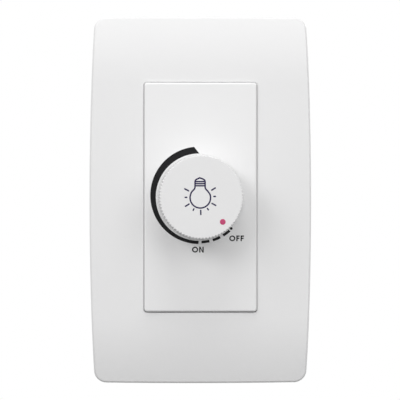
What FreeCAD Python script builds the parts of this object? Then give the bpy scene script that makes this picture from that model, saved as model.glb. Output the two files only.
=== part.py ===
"""Rotary dimmer switch on a wall plate, built as separate solids.

Millimetres. +X is to the right, +Z is up and the front faces -Y. The plane y = 0 is the wall and the Y axis
is the axis of the knob. A depth is measured forward from the wall, so that a point at depth d has y = -d.
"""
import FreeCAD
import Part
import Sketcher
import math
import os

SIZES = {
    "plate_width": (70.5, "cover plate across its middle"),
    "plate_height": (116.8, "cover plate, top to bottom"),
    "plate_side_bow": (1.6, "bow of each long side"),
    "plate_end_bow": (0.25, "bow of the top and bottom sides"),
    "plate_corner": (4.0, "corner radius of the outline"),
    "plate_depth": (9.0, "flat face in front of the wall"),
    "plate_camber": (0.6, "fall of the face from the middle to the sides"),
    "flat_margin": (3.4, "straight part of the face, more than the insert's height"),
    "plate_drop": (2.4, "fall of the face at the top and bottom"),
    "plate_wall": (2.0, "wall thickness"),
    "plate_edge": (0.5, "bevel of the front edge"),
    "plate_offset": (0.9, "centre of the plate below the knob's axis"),
    "window_gap": (0.1, "gap between the insert and the window"),
    "lift_gap": (0.3, "gap below the insert, for lifting the plate off"),
    "window_edge": (0.25, "bevel of the window's front edge"),
    "rim_wall": (1.4, "rim behind the window"),
    "rim_clear": (0.2, "rim in front of the frame's collar"),
    "hook_spread": (40.0, "hooks and catches, left to right"),
    "hook_width": (6.0, "width of a hook"),
    "catch_width": (8.0, "width of a catch"),
    "catch_inset": (6.0, "inner face of a catch from the frame's end"),
    "catch_wall": (1.5, "thickness of a hook or catch"),
    "catch_depth": (6.0, "front of a catch"),
    "catch_tooth": (0.7, "height of a tooth"),
    "catch_ramp": (1.4, "length of a catch's tooth"),
    "catch_clear": (0.3, "clearance between hook and catch"),
    "frame_side_gap": (4.6, "frame inside the plate, sideways"),
    "frame_end_gap": (2.85, "frame inside the plate, at its lower end"),
    "frame_corner": (3.0, "corner radius of the frame"),
    "frame_base": (2.0, "thickness of the frame's base"),
    "frame_clear": (0.3, "housing in the frame's opening"),
    "collar_wall": (1.5, "collar round the opening"),
    "collar_depth": (5.0, "front of the collar"),
    "slot_land": (2.15, "wall-box slot from the collar"),
    "slot_width": (4.2, "wall-box slot"),
    "slot_length": (6.6, "wall-box slot"),
    "insert_width": (35.7, "face insert"),
    "insert_height": (72.6, "face insert"),
    "insert_corner": (0.9, "corner radius of the insert"),
    "insert_edge": (0.6, "rounding of the insert's front edge"),
    "insert_proud": (0.9, "insert in front of the plate's face"),
    "insert_thick": (2.0, "front wall of the insert"),
    "insert_wall": (1.6, "skirt of the insert"),
    "housing_clear": (0.2, "housing inside the insert's skirt"),
    "housing_wall": (1.6, "wall of the rear housing"),
    "housing_corner": (1.5, "corner radius of the housing"),
    "rear_room": (10.0, "space behind the board"),
    "barb_height": (0.9, "snap barb"),
    "barb_slope": (2.4, "snap barb, front to back"),
    "barb_length": (8.0, "snap barb, top to bottom"),
    "barb_spread": (44.0, "snap barbs, top to bottom"),
    "barb_clear": (0.2, "barb behind the frame"),
    "vent_width": (1.6, "vent slot"),
    "vent_length": (13.0, "vent slot"),
    "vent_pitch": (3.4, "vent slots, side to side"),
    "vent_count": (6, "vent slots"),
    "vent_low": (9.0, "lower end of the vents"),
    "screw_inset": (3.3, "housing screws from the inside of the housing"),
    "screw_radius": (1.45, "shank of a housing screw"),
    "screw_clear": (0.1, "screw in its pilot hole"),
    "screw_pass": (0.25, "screw in the tube and the board"),
    "screw_grip": (8.0, "screw in its boss"),
    "head_radius": (2.6, "head of a housing screw"),
    "head_height": (1.8, "head of a housing screw"),
    "head_sink": (0.8, "head below the back of the housing"),
    "head_clear": (0.2, "head in its counterbore"),
    "recess_width": (0.8, "driver recess"),
    "recess_depth": (0.8, "driver recess"),
    "boss_width": (6.0, "screw boss of the insert, and screw tube"),
    "knob_gap": (0.5, "knob in front of the insert"),
    "knob_height": (13.5, "knob, front to back"),
    "knob_radius": (12.7, "knob between the ribs, at the face"),
    "knob_flare": (0.3, "added radius at the base"),
    "knob_edge": (0.25, "bevel of the knob's face"),
    "knob_wall": (1.6, "skirt of the knob"),
    "knob_top": (1.8, "face of the knob"),
    "rib_height": (0.4, "knob rib"),
    "rib_foot": (0.15, "knob rib inside the knob"),
    "rib_width": (1.45, "knob rib at its foot, wider than the pitch"),
    "rib_count": (80, "knob ribs"),
    "hub_radius": (5.2, "hub in the knob"),
    "hub_clear": (0.5, "hub in front of the retaining clip"),
    "shaft_radius": (3.0, "potentiometer shaft"),
    "shaft_clear": (0.03, "shaft in its bushing"),
    "shaft_flat": (1.5, "flat of the shaft from its axis"),
    "shaft_tip": (0.4, "shaft below the end of the hub's bore"),
    "bore_clear": (0.05, "shaft in the hub"),
    "spring_thick": (0.4, "leaf spring"),
    "spring_width": (3.6, "leaf spring"),
    "spring_clear": (0.05, "leaf spring, each side"),
    "spring_inset": (0.4, "leaf spring from the ends of the bore"),
    "bushing_radius": (3.5, "potentiometer bushing"),
    "bushing_clear": (0.2, "bushing in the insert"),
    "bushing_reach": (3.2, "bushing in front of the insert"),
    "thread_clear": (0.05, "nut and washer on the bushing"),
    "washer_radius": (6.0, "potentiometer washer"),
    "washer_thick": (0.6, "potentiometer washer"),
    "nut_radius": (5.77, "potentiometer nut across its corners, halved"),
    "nut_height": (2.0, "potentiometer nut"),
    "clip_width": (7.6, "retaining clip"),
    "clip_thick": (0.7, "retaining clip"),
    "clip_groove": (0.4, "depth of the clip's groove"),
    "clip_clear": (0.1, "clearance of the clip"),
    "pot_width": (17.0, "potentiometer can, across"),
    "pot_wall": (0.5, "potentiometer can"),
    "pot_depth": (7.0, "potentiometer can, front to back"),
    "pot_flange": (1.0, "flange of the bushing"),
    "wafer_thick": (1.2, "potentiometer wafer"),
    "wafer_clear": (0.1, "wafer in the can"),
    "ear_width": (12.0, "ear of the wafer"),
    "ear_reach": (11.6, "ear of the wafer below the axis"),
    "lug_pitch": (4.0, "potentiometer lugs"),
    "lug_width": (2.0, "potentiometer lug"),
    "lug_thick": (0.5, "potentiometer lug"),
    "lug_length": (2.6, "potentiometer lug on the wafer"),
    "rotor_length": (12.4, "potentiometer rotor"),
    "rotor_width": (6.0, "potentiometer rotor"),
    "rotor_thick": (2.0, "potentiometer rotor"),
    "rotor_gap": (0.9, "rotor behind the wafer"),
    "rotor_core": (2.0, "rear end of the shaft"),
    "rotor_clear": (0.02, "rotor on the shaft"),
    "wiper_inner": (3.4, "wiper strip from the axis"),
    "wiper_outer": (6.1, "wiper strip from the axis"),
    "wiper_width": (1.8, "wiper strip"),
    "wiper_thick": (0.3, "wiper strip"),
    "finger_length": (0.8, "wiper finger"),
    "finger_gap": (0.1, "wiper finger behind the wafer"),
    "spigot_clear": (0.2, "shaft in the wafer, the can and the switch"),
    "spigot_depth": (2.0, "shaft in the switch"),
    "switch_width": (16.4, "snap switch, across"),
    "switch_depth": (6.5, "snap switch, front to back"),
    "switch_pin_x": (4.0, "pins of the switch from the axis"),
    "switch_pin_z": (5.0, "pins of the switch above the axis"),
    "board_clear": (0.3, "board in the housing"),
    "board_thick": (1.6, "circuit board"),
    "lead_size": (0.7, "square lead"),
    "lead_clear": (0.1, "lead in its hole, each side"),
    "lead_tail": (1.2, "lead behind the board"),
    "sink_gap": (0.9, "heat sink from the housing's side"),
    "sink_width": (13.4, "heat sink"),
    "sink_top_gap": (1.2, "heat sink from the housing's top"),
    "sink_length": (16.6, "heat sink, top to bottom"),
    "sink_thick": (1.5, "sheet of the heat sink"),
    "sink_height": (9.0, "heat sink, front to back"),
    "triac_width": (10.0, "triac"),
    "triac_length": (9.2, "moulded body of the triac"),
    "triac_thick": (4.4, "triac, front to back"),
    "triac_rise": (0.8, "triac above the lower end of the heat sink"),
    "tab_length": (6.2, "tab above the triac's body"),
    "tab_thick": (1.3, "tab of the triac"),
    "tab_hole": (3.0, "hole above the triac's body"),
    "leg_pitch": (2.54, "legs of the triac"),
    "leg_drop": (1.0, "legs below the heat sink"),
    "clamp_radius": (1.5, "triac screw"),
    "clamp_clear": (0.1, "triac screw in its holes"),
    "clamp_head": (2.75, "head of the triac screw"),
    "clamp_head_height": (2.0, "head of the triac screw"),
    "clamp_nut": (3.175, "triac nut across its corners, halved"),
    "clamp_nut_height": (2.4, "triac nut"),
    "choke_gap": (1.2, "choke from the housing's side"),
    "part_gap": (0.8, "choke and suppression capacitor below the wafer's ear"),
    "choke_radius": (4.0, "winding of the choke"),
    "choke_core_radius": (2.2, "core of the choke"),
    "choke_core_length": (13.0, "core of the choke"),
    "choke_length": (10.0, "winding of the choke"),
    "choke_clear": (0.1, "core in the winding"),
    "choke_leads": (8.8, "leads of the choke"),
    "film_gap": (1.2, "suppression capacitor from the housing's side"),
    "film_width": (10.4, "suppression capacitor, side to side"),
    "film_thick": (5.4, "suppression capacitor, top to bottom"),
    "film_height": (11.0, "suppression capacitor, front to back"),
    "film_leads": (7.5, "leads of the suppression capacitor"),
    "side_gap": (2.3, "resistors and diac from the housing's sides"),
    "timing_gap": (6.6, "timing capacitor from the housing's side"),
    "timing_z": (14.0, "timing capacitor"),
    "timing_width": (7.2, "timing capacitor, top to bottom"),
    "timing_thick": (2.6, "timing capacitor, side to side"),
    "timing_height": (6.6, "timing capacitor, front to back"),
    "timing_leads": (5.0, "leads of the timing capacitor"),
    "resistor_radius": (1.15, "resistor"),
    "resistor_length": (6.3, "resistor"),
    "resistor_leads": (10.2, "leads of a resistor"),
    "diac_z": (12.8, "diac"),
    "diac_radius": (0.95, "diac"),
    "diac_length": (4.0, "diac"),
    "diac_leads": (7.6, "leads of the diac"),
    "stand_off": (0.2, "small parts in front of the board"),
    "block_gap": (1.15, "terminal block from the screw tube"),
    "block_width": (14.0, "terminal block"),
    "block_height": (9.0, "terminal block, top to bottom"),
    "block_clear": (0.1, "terminal block in the housing"),
    "way_pitch": (7.0, "ways of the terminal block"),
    "way_width": (5.2, "pocket of a clamp"),
    "way_height": (6.2, "pocket of a clamp, top to bottom"),
    "way_depth": (7.0, "pocket of a clamp, front to back"),
    "way_rise": (2.3, "wall below the pocket of a clamp"),
    "wire_radius": (1.8, "wire entry"),
    "wire_place": (3.6, "wire entry behind the board"),
    "cage_clear": (0.1, "clamp in its pocket"),
    "cage_wall": (0.8, "wall of a clamp"),
    "driver_size": (4.0, "driver opening"),
    "terminal_radius": (1.5, "terminal screw"),
    "terminal_clear": (0.05, "terminal screw in its clamp"),
    "terminal_back": (1.6, "terminal screw behind its clamp"),
    "terminal_reach": (0.6, "terminal screw inside its clamp"),
    "margin": (1.0, "extra length of a cut past the piece"),
}


class Size:
    """A number together with the spreadsheet expression that gives it."""

    def __init__(self, number, text):
        self.number = float(number)
        self.text = text

    def __add__(self, other):
        return Size(self.number + number(other), f"({self.text} + {text(other)})")

    def __radd__(self, other):
        return Size(number(other) + self.number, f"({text(other)} + {self.text})")

    def __sub__(self, other):
        return Size(self.number - number(other), f"({self.text} - {text(other)})")

    def __rsub__(self, other):
        return Size(number(other) - self.number, f"({text(other)} - {self.text})")

    def __mul__(self, other):
        return Size(self.number * number(other), f"({self.text} * {text(other)})")

    def __rmul__(self, other):
        return self * other

    def __truediv__(self, other):
        return Size(self.number / number(other), f"({self.text} / {text(other)})")

    def __neg__(self):
        return Size(-self.number, f"(0 - {self.text})")


def number(value):
    return value.number if isinstance(value, Size) else float(value)


def text(value):
    return value.text if isinstance(value, Size) else repr(float(value))


def root(value):
    return Size(math.sqrt(value.number), f"sqrt({value.text})")


def slope(value):
    """The angle in degrees whose tangent is the value."""
    return Size(math.degrees(math.atan(value.number)), f"atan({value.text})")


def bow_radius(chord, bow):
    return chord * chord / (bow * 8) + bow / 2


def bind(thing, prop, value):
    thing.setExpression(prop, text(value))


doc = FreeCAD.newDocument("dimmer")
sheet = doc.addObject("Spreadsheet::Sheet", "sizes")
for row, (alias, (value, meaning)) in enumerate(SIZES.items(), 1):
    sheet.set(f"A{row}", alias)
    sheet.set(f"B{row}", str(value))
    sheet.set(f"C{row}", meaning)
    sheet.setAlias(f"B{row}", alias)
doc.recompute()


class Sheet:
    """Every size of the spreadsheet as an attribute."""

    def __getattr__(self, alias):
        return Size(sheet.get(alias), f"sizes.{alias}")


s = Sheet()
nodes = []
rows = len(SIZES)


def named(alias, value):
    """Put a size that follows from others in the spreadsheet, under its own name."""
    global rows
    rows += 1
    sheet.set(f"A{rows}", alias)
    sheet.set(f"B{rows}", "=" + value.text.replace("sizes.", ""))
    sheet.setAlias(f"B{rows}", alias)
    return Size(value.number, f"sizes.{alias}")


# Depths that several pieces share, from front to back.
insert_front = s.plate_depth + s.insert_proud
insert_back = insert_front - s.insert_thick
knob_rear = insert_front + s.knob_gap
knob_face = knob_rear + s.knob_height
hub_end = knob_face - s.knob_top
pot_front = insert_back - s.pot_flange
wafer_rear = pot_front - s.wafer_thick
rotor_front = wafer_rear - s.rotor_gap
rotor_rear = rotor_front - s.rotor_thick
switch_front = pot_front - s.pot_depth
board_front = switch_front - s.switch_depth
board_rear = board_front - s.board_thick
rear_inner = board_rear - s.rear_room
rear_outer = rear_inner - s.housing_wall
lead_end = board_rear - s.lead_tail
washer_front = insert_front + s.washer_thick
bushing_front = insert_front + s.bushing_reach
clip_rear = bushing_front + s.clip_clear
clip_front = clip_rear + s.clip_thick
hub_rear = clip_front + s.hub_clear
shaft_front = hub_end - s.shaft_tip

# Widths and heights that several pieces share.
housing_half_x = s.insert_width / 2 - s.insert_wall - s.housing_clear
housing_half_z = s.insert_height / 2 - s.insert_wall - s.housing_clear
inner_half_x = housing_half_x - s.housing_wall
inner_half_z = housing_half_z - s.housing_wall
opening_half_x = housing_half_x + s.frame_clear
opening_half_z = housing_half_z + s.frame_clear
window_half_x = s.insert_width / 2 + s.window_gap
window_half_z = s.insert_height / 2 + s.window_gap
window_low_z = s.insert_height / 2 + s.lift_gap
window_corner = s.insert_corner + s.window_gap
plate_corner_x = s.plate_width / 2 - s.plate_side_bow
plate_corner_z = s.plate_height / 2 - s.plate_end_bow
plate_inner_x = plate_corner_x - s.plate_wall
plate_inner_z = plate_corner_z - s.plate_wall
frame_half_x = plate_inner_x - s.frame_side_gap
frame_half_z = plate_inner_z - s.plate_offset - s.frame_end_gap
catch_place = frame_half_z - s.catch_inset
box_half = opening_half_z + s.collar_wall + s.slot_land + s.slot_length / 2
screw_x = inner_half_x - s.screw_inset
screw_z = inner_half_z - s.screw_inset
screw_places = ((screw_x, screw_z), (-screw_x, -screw_z))
lead_hole = s.lead_size + s.lead_clear * 2
pot_half = s.pot_width / 2
block_x = s.block_gap + (s.block_width + s.boss_width) / 2 - screw_x
block_low = s.block_clear - inner_half_z
way_low = block_low + s.way_rise
way_middle = way_low + s.way_height / 2
way_rear = board_rear - s.way_depth
way_places = (block_x - s.way_pitch / 2, block_x + s.way_pitch / 2)
sink_x = s.sink_gap + s.sink_width / 2 - inner_half_x
sink_low = inner_half_z - s.sink_top_gap - s.sink_length
clamp_z = sink_low + s.triac_rise + s.triac_length + s.tab_hole
leg_low = sink_low - s.leg_drop
lug_foot = s.lug_thick / 2 - s.ear_reach
choke_x = inner_half_x - s.choke_gap - s.choke_radius
choke_z = -s.ear_reach - s.part_gap - s.choke_core_length / 2
film_x = s.film_gap + s.film_width / 2 - inner_half_x
film_z = -s.ear_reach - s.part_gap - s.film_thick / 2
side_x = inner_half_x - s.side_gap
timing_x = inner_half_x - s.timing_gap


def keep(piece, label):
    piece.Label = label
    nodes.append(piece)
    return piece


def new_body(label):
    return keep(doc.addObject("PartDesign::Body", label), label)


def new_sketch(body, name, role="XZ_Plane", offset=0):
    """A sketch on one of the body's own planes; on XZ_Plane the offset is a depth."""
    sketch = body.newObject("Sketcher::SketchObject", name)
    plane = next(item for item in body.Origin.OriginFeatures if item.Role == role)
    sketch.AttachmentSupport = [(plane, "")]
    sketch.MapMode = "FlatFace"
    bind(sketch, "AttachmentOffset.Base.z", offset)
    return sketch


def limit(sketch, kind, *where, value):
    index = sketch.addConstraint(Sketcher.Constraint(kind, *where, number(value)))
    bind(sketch, f"Constraints[{index}]", value)


def outline(sketch, points, radii=None):
    """Draw a closed outline anticlockwise.

    radii holds the radius of the arc that follows a point, negative where the arc bulges in.
    """
    radii = radii or {}
    first = sketch.GeometryCount
    count = len(points)
    begin = {}
    finish = {}
    for i in range(count):
        start = FreeCAD.Vector(*map(number, points[i]), 0)
        end = FreeCAD.Vector(*map(number, points[(i + 1) % count]), 0)
        begin[i], finish[i] = 1, 2
        if i not in radii:
            sketch.addGeometry(Part.LineSegment(start, end))
            continue
        radius = number(radii[i])
        if radius < 0:
            start, end = end, start
            begin[i], finish[i] = 2, 1
        chord = end - start
        across = FreeCAD.Vector(-chord.y, chord.x, 0).normalize()
        rise = math.sqrt(max(radius**2 - chord.Length**2 / 4, 0))
        centre = (start + end) / 2 + across * rise
        angles = [math.atan2(p.y - centre.y, p.x - centre.x) for p in (start, end)]
        circle = Part.Circle(centre, FreeCAD.Vector(0, 0, 1), abs(radius))
        sketch.addGeometry(Part.ArcOfCircle(circle, *angles))
    for i in range(count):
        after = (i + 1) % count
        sketch.addConstraint(
            Sketcher.Constraint("Coincident", first + i, finish[i], first + after, begin[after])
        )
        limit(sketch, "DistanceX", first + i, begin[i], value=points[i][0])
        limit(sketch, "DistanceY", first + i, begin[i], value=points[i][1])
        if i in radii:
            size = radii[i] if number(radii[i]) > 0 else -radii[i]
            limit(sketch, "Radius", first + i, value=size)
    return sketch


def rectangle(sketch, x, y):
    return outline(sketch, [(x[0], y[0]), (x[1], y[0]), (x[1], y[1]), (x[0], y[1])])


def round_rectangle(sketch, x, y, radius):
    points = [
        (x[0] + radius, y[0]),
        (x[1] - radius, y[0]),
        (x[1], y[0] + radius),
        (x[1], y[1] - radius),
        (x[1] - radius, y[1]),
        (x[0] + radius, y[1]),
        (x[0], y[1] - radius),
        (x[0], y[0] + radius),
    ]
    return outline(sketch, points, {1: radius, 3: radius, 5: radius, 7: radius})


def upright_slot(sketch, y, width, length):
    half = width / 2
    straight = (length - width) / 2
    points = [
        (0, y - straight - half),
        (half, y - straight),
        (half, y + straight),
        (0, y + straight + half),
        (-half, y + straight),
        (-half, y - straight),
    ]
    return outline(sketch, points, {0: half, 2: half, 3: half, 5: half})


def circle(sketch, x, y, radius):
    centre = FreeCAD.Vector(number(x), number(y), 0)
    index = sketch.addGeometry(Part.Circle(centre, FreeCAD.Vector(0, 0, 1), number(radius)))
    limit(sketch, "DistanceX", index, 3, value=x)
    limit(sketch, "DistanceY", index, 3, value=y)
    limit(sketch, "Radius", index, value=radius)
    return sketch


def step(body, kind, name, sketch):
    feature = body.newObject(f"PartDesign::{kind}", name)
    feature.Profile = sketch
    sketch.Visibility = False
    return feature


def pad(body, sketch, length):
    """Add the sketch's area along its normal, which points forward on XZ_Plane."""
    feature = step(body, "Pad", f"{sketch.Name}_pad", sketch)
    bind(feature, "Length", length)
    return feature


def cut(body, sketch, length, along=True):
    """Remove the sketch's area along its normal, or the other way."""
    feature = step(body, "Pocket", f"{sketch.Name}_cut", sketch)
    bind(feature, "Length", length)
    feature.Reversed = along
    return feature


def turn(body, sketch):
    feature = step(body, "Revolution", f"{sketch.Name}_turn", sketch)
    feature.ReferenceAxis = (sketch, ["V_Axis"])
    feature.Angle = 360
    return feature


def groove(body, sketch, place, angle):
    """Remove the sketch's area, turned both ways about an upright line at a place behind the wall."""
    reach = number(s.margin)
    line = Part.LineSegment(FreeCAD.Vector(number(place), -reach, 0), FreeCAD.Vector(number(place), reach, 0))
    index = sketch.addGeometry(line, True)
    for end, height in ((1, -s.margin), (2, s.margin)):
        limit(sketch, "DistanceX", index, end, value=place)
        limit(sketch, "DistanceY", index, end, value=height)
    feature = step(body, "Groove", f"{sketch.Name}_groove", sketch)
    feature.ReferenceAxis = (sketch, ["Axis0"])
    feature.Midplane = True
    bind(feature, "Angle", angle)
    return feature


def loft(body, kind, sketches):
    feature = step(body, kind, f"{sketches[0].Name}_loft", sketches[0])
    feature.Sections = sketches[1:]
    feature.Ruled = True
    return feature


def polar(body, original, sketch, count):
    feature = body.newObject("PartDesign::PolarPattern", f"{original.Name}_ring")
    feature.Originals = [original]
    feature.Axis = (sketch, ["N_Axis"])
    feature.Angle = 360
    bind(feature, "Occurrences", count)
    body.Tip = feature
    return feature


def mirror(body, original, role):
    feature = body.newObject("PartDesign::Mirrored", f"{original.Name}_mirror")
    feature.Originals = [original]
    plane = next(item for item in body.Origin.OriginFeatures if item.Role == role)
    feature.MirrorPlane = (plane, [""])
    body.Tip = feature
    return feature


def steepness(face):
    """How far the middle of a face looks to the front or back: 1 square on, 0 side on."""
    low_u, high_u, low_v, high_v = face.ParameterRange
    return abs(face.normalAt((low_u + high_u) / 2, (low_v + high_v) / 2).y)


def front_edge(shape, edge, depth):
    """True for an edge in front of a depth where a wall meets a face that looks forward."""
    if edge.CenterOfMass.y > -depth:
        return False
    facing = sorted(steepness(face) for face in shape.ancestorsOfType(edge, Part.Face))
    return facing[0] < 0.2 and facing[-1] > 0.6


def dress(body, kind, name, chosen):
    """Work the edges of the body so far that chosen(shape, edge) picks."""
    doc.recompute()
    base = body.Tip
    edges = base.Shape.Edges
    names = [f"Edge{i}" for i, edge in enumerate(edges, 1) if chosen(base.Shape, edge)]
    feature = body.newObject(f"PartDesign::{kind}", name)
    feature.Base = (base, names)
    return feature


def fillet(body, name, radius, chosen):
    bind(dress(body, "Fillet", name, chosen), "Radius", radius)


def bevel(body, name, size, chosen):
    bind(dress(body, "Chamfer", name, chosen), "Size", size)


def box(name, x, depth, z):
    """A block between two places across, two depths (rear, front) and two heights."""
    piece = doc.addObject("Part::Box", name)
    bind(piece, "Length", x[1] - x[0])
    bind(piece, "Width", depth[1] - depth[0])
    bind(piece, "Height", z[1] - z[0])
    bind(piece, "Placement.Base.x", x[0])
    bind(piece, "Placement.Base.y", -depth[1])
    bind(piece, "Placement.Base.z", z[0])
    return piece


def around(middle, size):
    return (middle - size / 2, middle + size / 2)


def rod(name, radius, depth, x=0, z=0, kind="Part::Cylinder"):
    """A cylinder, or a hexagonal prism, between two depths (rear, front)."""
    piece = doc.addObject(kind, name)
    bind(piece, "Circumradius" if kind == "Part::Prism" else "Radius", radius)
    bind(piece, "Height", depth[1] - depth[0])
    piece.Placement.Rotation = FreeCAD.Rotation(FreeCAD.Vector(1, 0, 0), 90)
    bind(piece, "Placement.Base.x", x)
    bind(piece, "Placement.Base.y", -depth[0])
    bind(piece, "Placement.Base.z", z)
    return piece


def upright_rod(name, radius, x, depth, z):
    """A cylinder between two heights."""
    piece = doc.addObject("Part::Cylinder", name)
    bind(piece, "Radius", radius)
    bind(piece, "Height", z[1] - z[0])
    bind(piece, "Placement.Base.x", x)
    bind(piece, "Placement.Base.y", -depth)
    bind(piece, "Placement.Base.z", z[0])
    return piece


def fused(name, pieces):
    piece = doc.addObject("Part::MultiFuse", name)
    piece.Shapes = pieces
    piece.Refine = True
    return piece


def less(name, base, tools):
    piece = doc.addObject("Part::Cut", name)
    piece.Base = base
    piece.Tool = tools[0] if len(tools) == 1 else fused(f"{name}_tools", tools)
    return piece


def together(name, pieces):
    piece = doc.addObject("Part::Compound", name)
    piece.Links = pieces
    return piece


def lead(name, x, z, front):
    """A square lead from a depth down through the board."""
    return box(name, around(x, s.lead_size), (lead_end, front), around(z, s.lead_size))


def make_cover_plate():
    body = new_body("cover_plate")
    half_x = s.plate_width / 2
    half_z = s.plate_height / 2
    middle = -s.plate_offset
    flat = (s.insert_height + s.flat_margin) / 2
    end_arc = named("end_arc", bow_radius(plate_corner_x * 2, s.plate_end_bow))
    side_arc = named("side_arc", bow_radius(plate_corner_z * 2, s.plate_side_bow))

    # The middle of a corner arc lies where two circles inside the long arcs cross.
    u = named("side_middle", side_arc - half_x)
    w = named("end_middle", end_arc - half_z)
    to_side = named("side_reach", side_arc - s.plate_corner)
    to_end = named("end_reach", end_arc - s.plate_corner)
    k = named("corner_shift", (to_side * to_side - to_end * to_end - u * u + w * w) / (u * 2))
    m = named("corner_ratio", w / u)
    b = named("corner_half", (k * m + w) / (m * m + 1))
    c = named("corner_rest", (k * k + w * w - to_end * to_end) / (m * m + 1))
    corner_z = named("corner_z", root(b * b - c) - b)
    corner_x = named("corner_x", k + m * corner_z)
    side_x = named("side_end_x", (corner_x + u) * side_arc / to_side - u)
    side_z = named("side_end_z", corner_z * side_arc / to_side)
    end_x = named("end_end_x", corner_x * end_arc / to_end)
    end_z = named("end_end_z", (corner_z + w) * end_arc / to_end - w)
    doc.recompute()
    corners = [
        (-end_x, middle - end_z),
        (end_x, middle - end_z),
        (side_x, middle - side_z),
        (side_x, middle + side_z),
        (end_x, middle + end_z),
        (-end_x, middle + end_z),
        (-side_x, middle + side_z),
        (-side_x, middle - side_z),
    ]
    arcs = {0: end_arc, 2: side_arc, 4: end_arc, 6: side_arc}
    arcs.update({i: s.plate_corner for i in (1, 3, 5, 7)})
    blank = outline(new_sketch(body, "plate_outline"), corners, arcs)
    pad(body, blank, s.plate_depth + s.margin)

    roll = bow_radius((half_z - flat) * 2, s.plate_drop)
    axis = bow_radius(s.plate_width, s.plate_camber) - s.plate_depth

    def fall(radius, height):
        run = height - flat
        return radius - root(radius * radius - run * run)

    top = half_z + s.margin
    edge = fall(roll, top) - s.plate_depth
    far = -(s.plate_depth + s.margin * 3)
    points = [
        (far, middle - top),
        (edge, middle - top),
        (-s.plate_depth, middle - flat),
        (-s.plate_depth, middle + flat),
        (edge, middle + top),
        (far, middle + top),
    ]
    face = outline(new_sketch(body, "face", "YZ_Plane"), points, {1: -roll, 3: -roll})
    groove(body, face, axis, slope((s.plate_width / 2 + s.margin * 2) / axis) * 2)
    bevel(body, "plate_edges", s.plate_edge, lambda shape, edge: front_edge(shape, edge, 1))

    inside = s.plate_depth - s.plate_wall
    inner_roll = roll - s.plate_wall
    edge = fall(inner_roll, plate_inner_z) - inside
    points = [
        (s.margin, middle - plate_inner_z),
        (s.margin, middle + plate_inner_z),
        (edge, middle + plate_inner_z),
        (-inside, middle + flat),
        (-inside, middle - flat),
        (edge, middle - plate_inner_z),
    ]
    hollow = outline(new_sketch(body, "hollow", "YZ_Plane"), points, {2: inner_roll, 4: inner_roll})
    groove(body, hollow, axis, slope(plate_inner_x / axis) * 2)

    low = s.plate_depth - s.plate_camber
    rim = new_sketch(body, "window_rim", offset=s.collar_depth + s.rim_clear)
    rim_x = window_half_x + s.rim_wall
    rim_z = (-window_low_z - s.rim_wall, window_half_z + s.rim_wall)
    rectangle(rim, (-rim_x, rim_x), rim_z)
    pad(body, rim, low - s.plate_wall / 2 - s.collar_depth - s.rim_clear)
    window = new_sketch(body, "window")
    round_rectangle(window, (-window_half_x, window_half_x), (-window_low_z, window_half_z), window_corner)
    cut(body, window, s.plate_depth + s.margin)

    def window_edge(shape, edge):
        place = edge.CenterOfMass
        inside_x = abs(place.x) < number(window_half_x) + 0.01
        inside_z = abs(place.z) < number(window_low_z) + 0.01
        return inside_x and inside_z and front_edge(shape, edge, number(low) - 0.2)

    bevel(body, "window_edges", s.window_edge, window_edge)

    inner = catch_place + s.catch_wall + s.catch_tooth + s.catch_clear
    outer = inner + s.catch_wall
    run = outer + s.plate_offset - flat
    top = low - run * run / (roll * 2) - s.plate_wall / 2
    back = s.frame_base + s.catch_clear
    grip = s.catch_depth - s.catch_ramp - s.catch_clear
    upper = [
        (-top, inner),
        (-grip, inner),
        (-grip, inner - s.catch_tooth),
        (-back, inner),
        (-back, outer),
        (-top, outer),
    ]
    lower = [(y, -z) for y, z in reversed(upper)]
    hooks = new_sketch(body, "hooks", "YZ_Plane", s.hook_spread / 2 - s.hook_width / 2)
    outline(hooks, upper)
    outline(hooks, lower)
    mirror(body, pad(body, hooks, s.hook_width), "YZ_Plane")


def make_mounting_frame():
    body = new_body("mounting_frame")
    base = new_sketch(body, "frame_outline")
    round_rectangle(base, (-frame_half_x, frame_half_x), (-frame_half_z, frame_half_z), s.frame_corner)
    rectangle(base, (-opening_half_x, opening_half_x), (-opening_half_z, opening_half_z))
    for place in (-box_half, box_half):
        upright_slot(base, place, s.slot_width, s.slot_length)
    pad(body, base, s.frame_base)
    collar = new_sketch(body, "collar")
    collar_x = opening_half_x + s.collar_wall
    collar_z = opening_half_z + s.collar_wall
    rectangle(collar, (-collar_x, collar_x), (-collar_z, collar_z))
    rectangle(collar, (-opening_half_x, opening_half_x), (-opening_half_z, opening_half_z))
    pad(body, collar, s.collar_depth)
    face = catch_place + s.catch_wall
    tooth = s.catch_depth - s.catch_ramp
    upper = [
        (-s.catch_depth, catch_place),
        (-s.frame_base / 2, catch_place),
        (-s.frame_base / 2, face),
        (-tooth, face),
        (-tooth, face + s.catch_tooth),
        (-s.catch_depth, face),
    ]
    lower = [(y, -z) for y, z in reversed(upper)]
    catches = new_sketch(body, "catches", "YZ_Plane", s.hook_spread / 2 - s.catch_width / 2)
    outline(catches, upper)
    outline(catches, lower)
    mirror(body, pad(body, catches, s.catch_width), "YZ_Plane")


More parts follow.
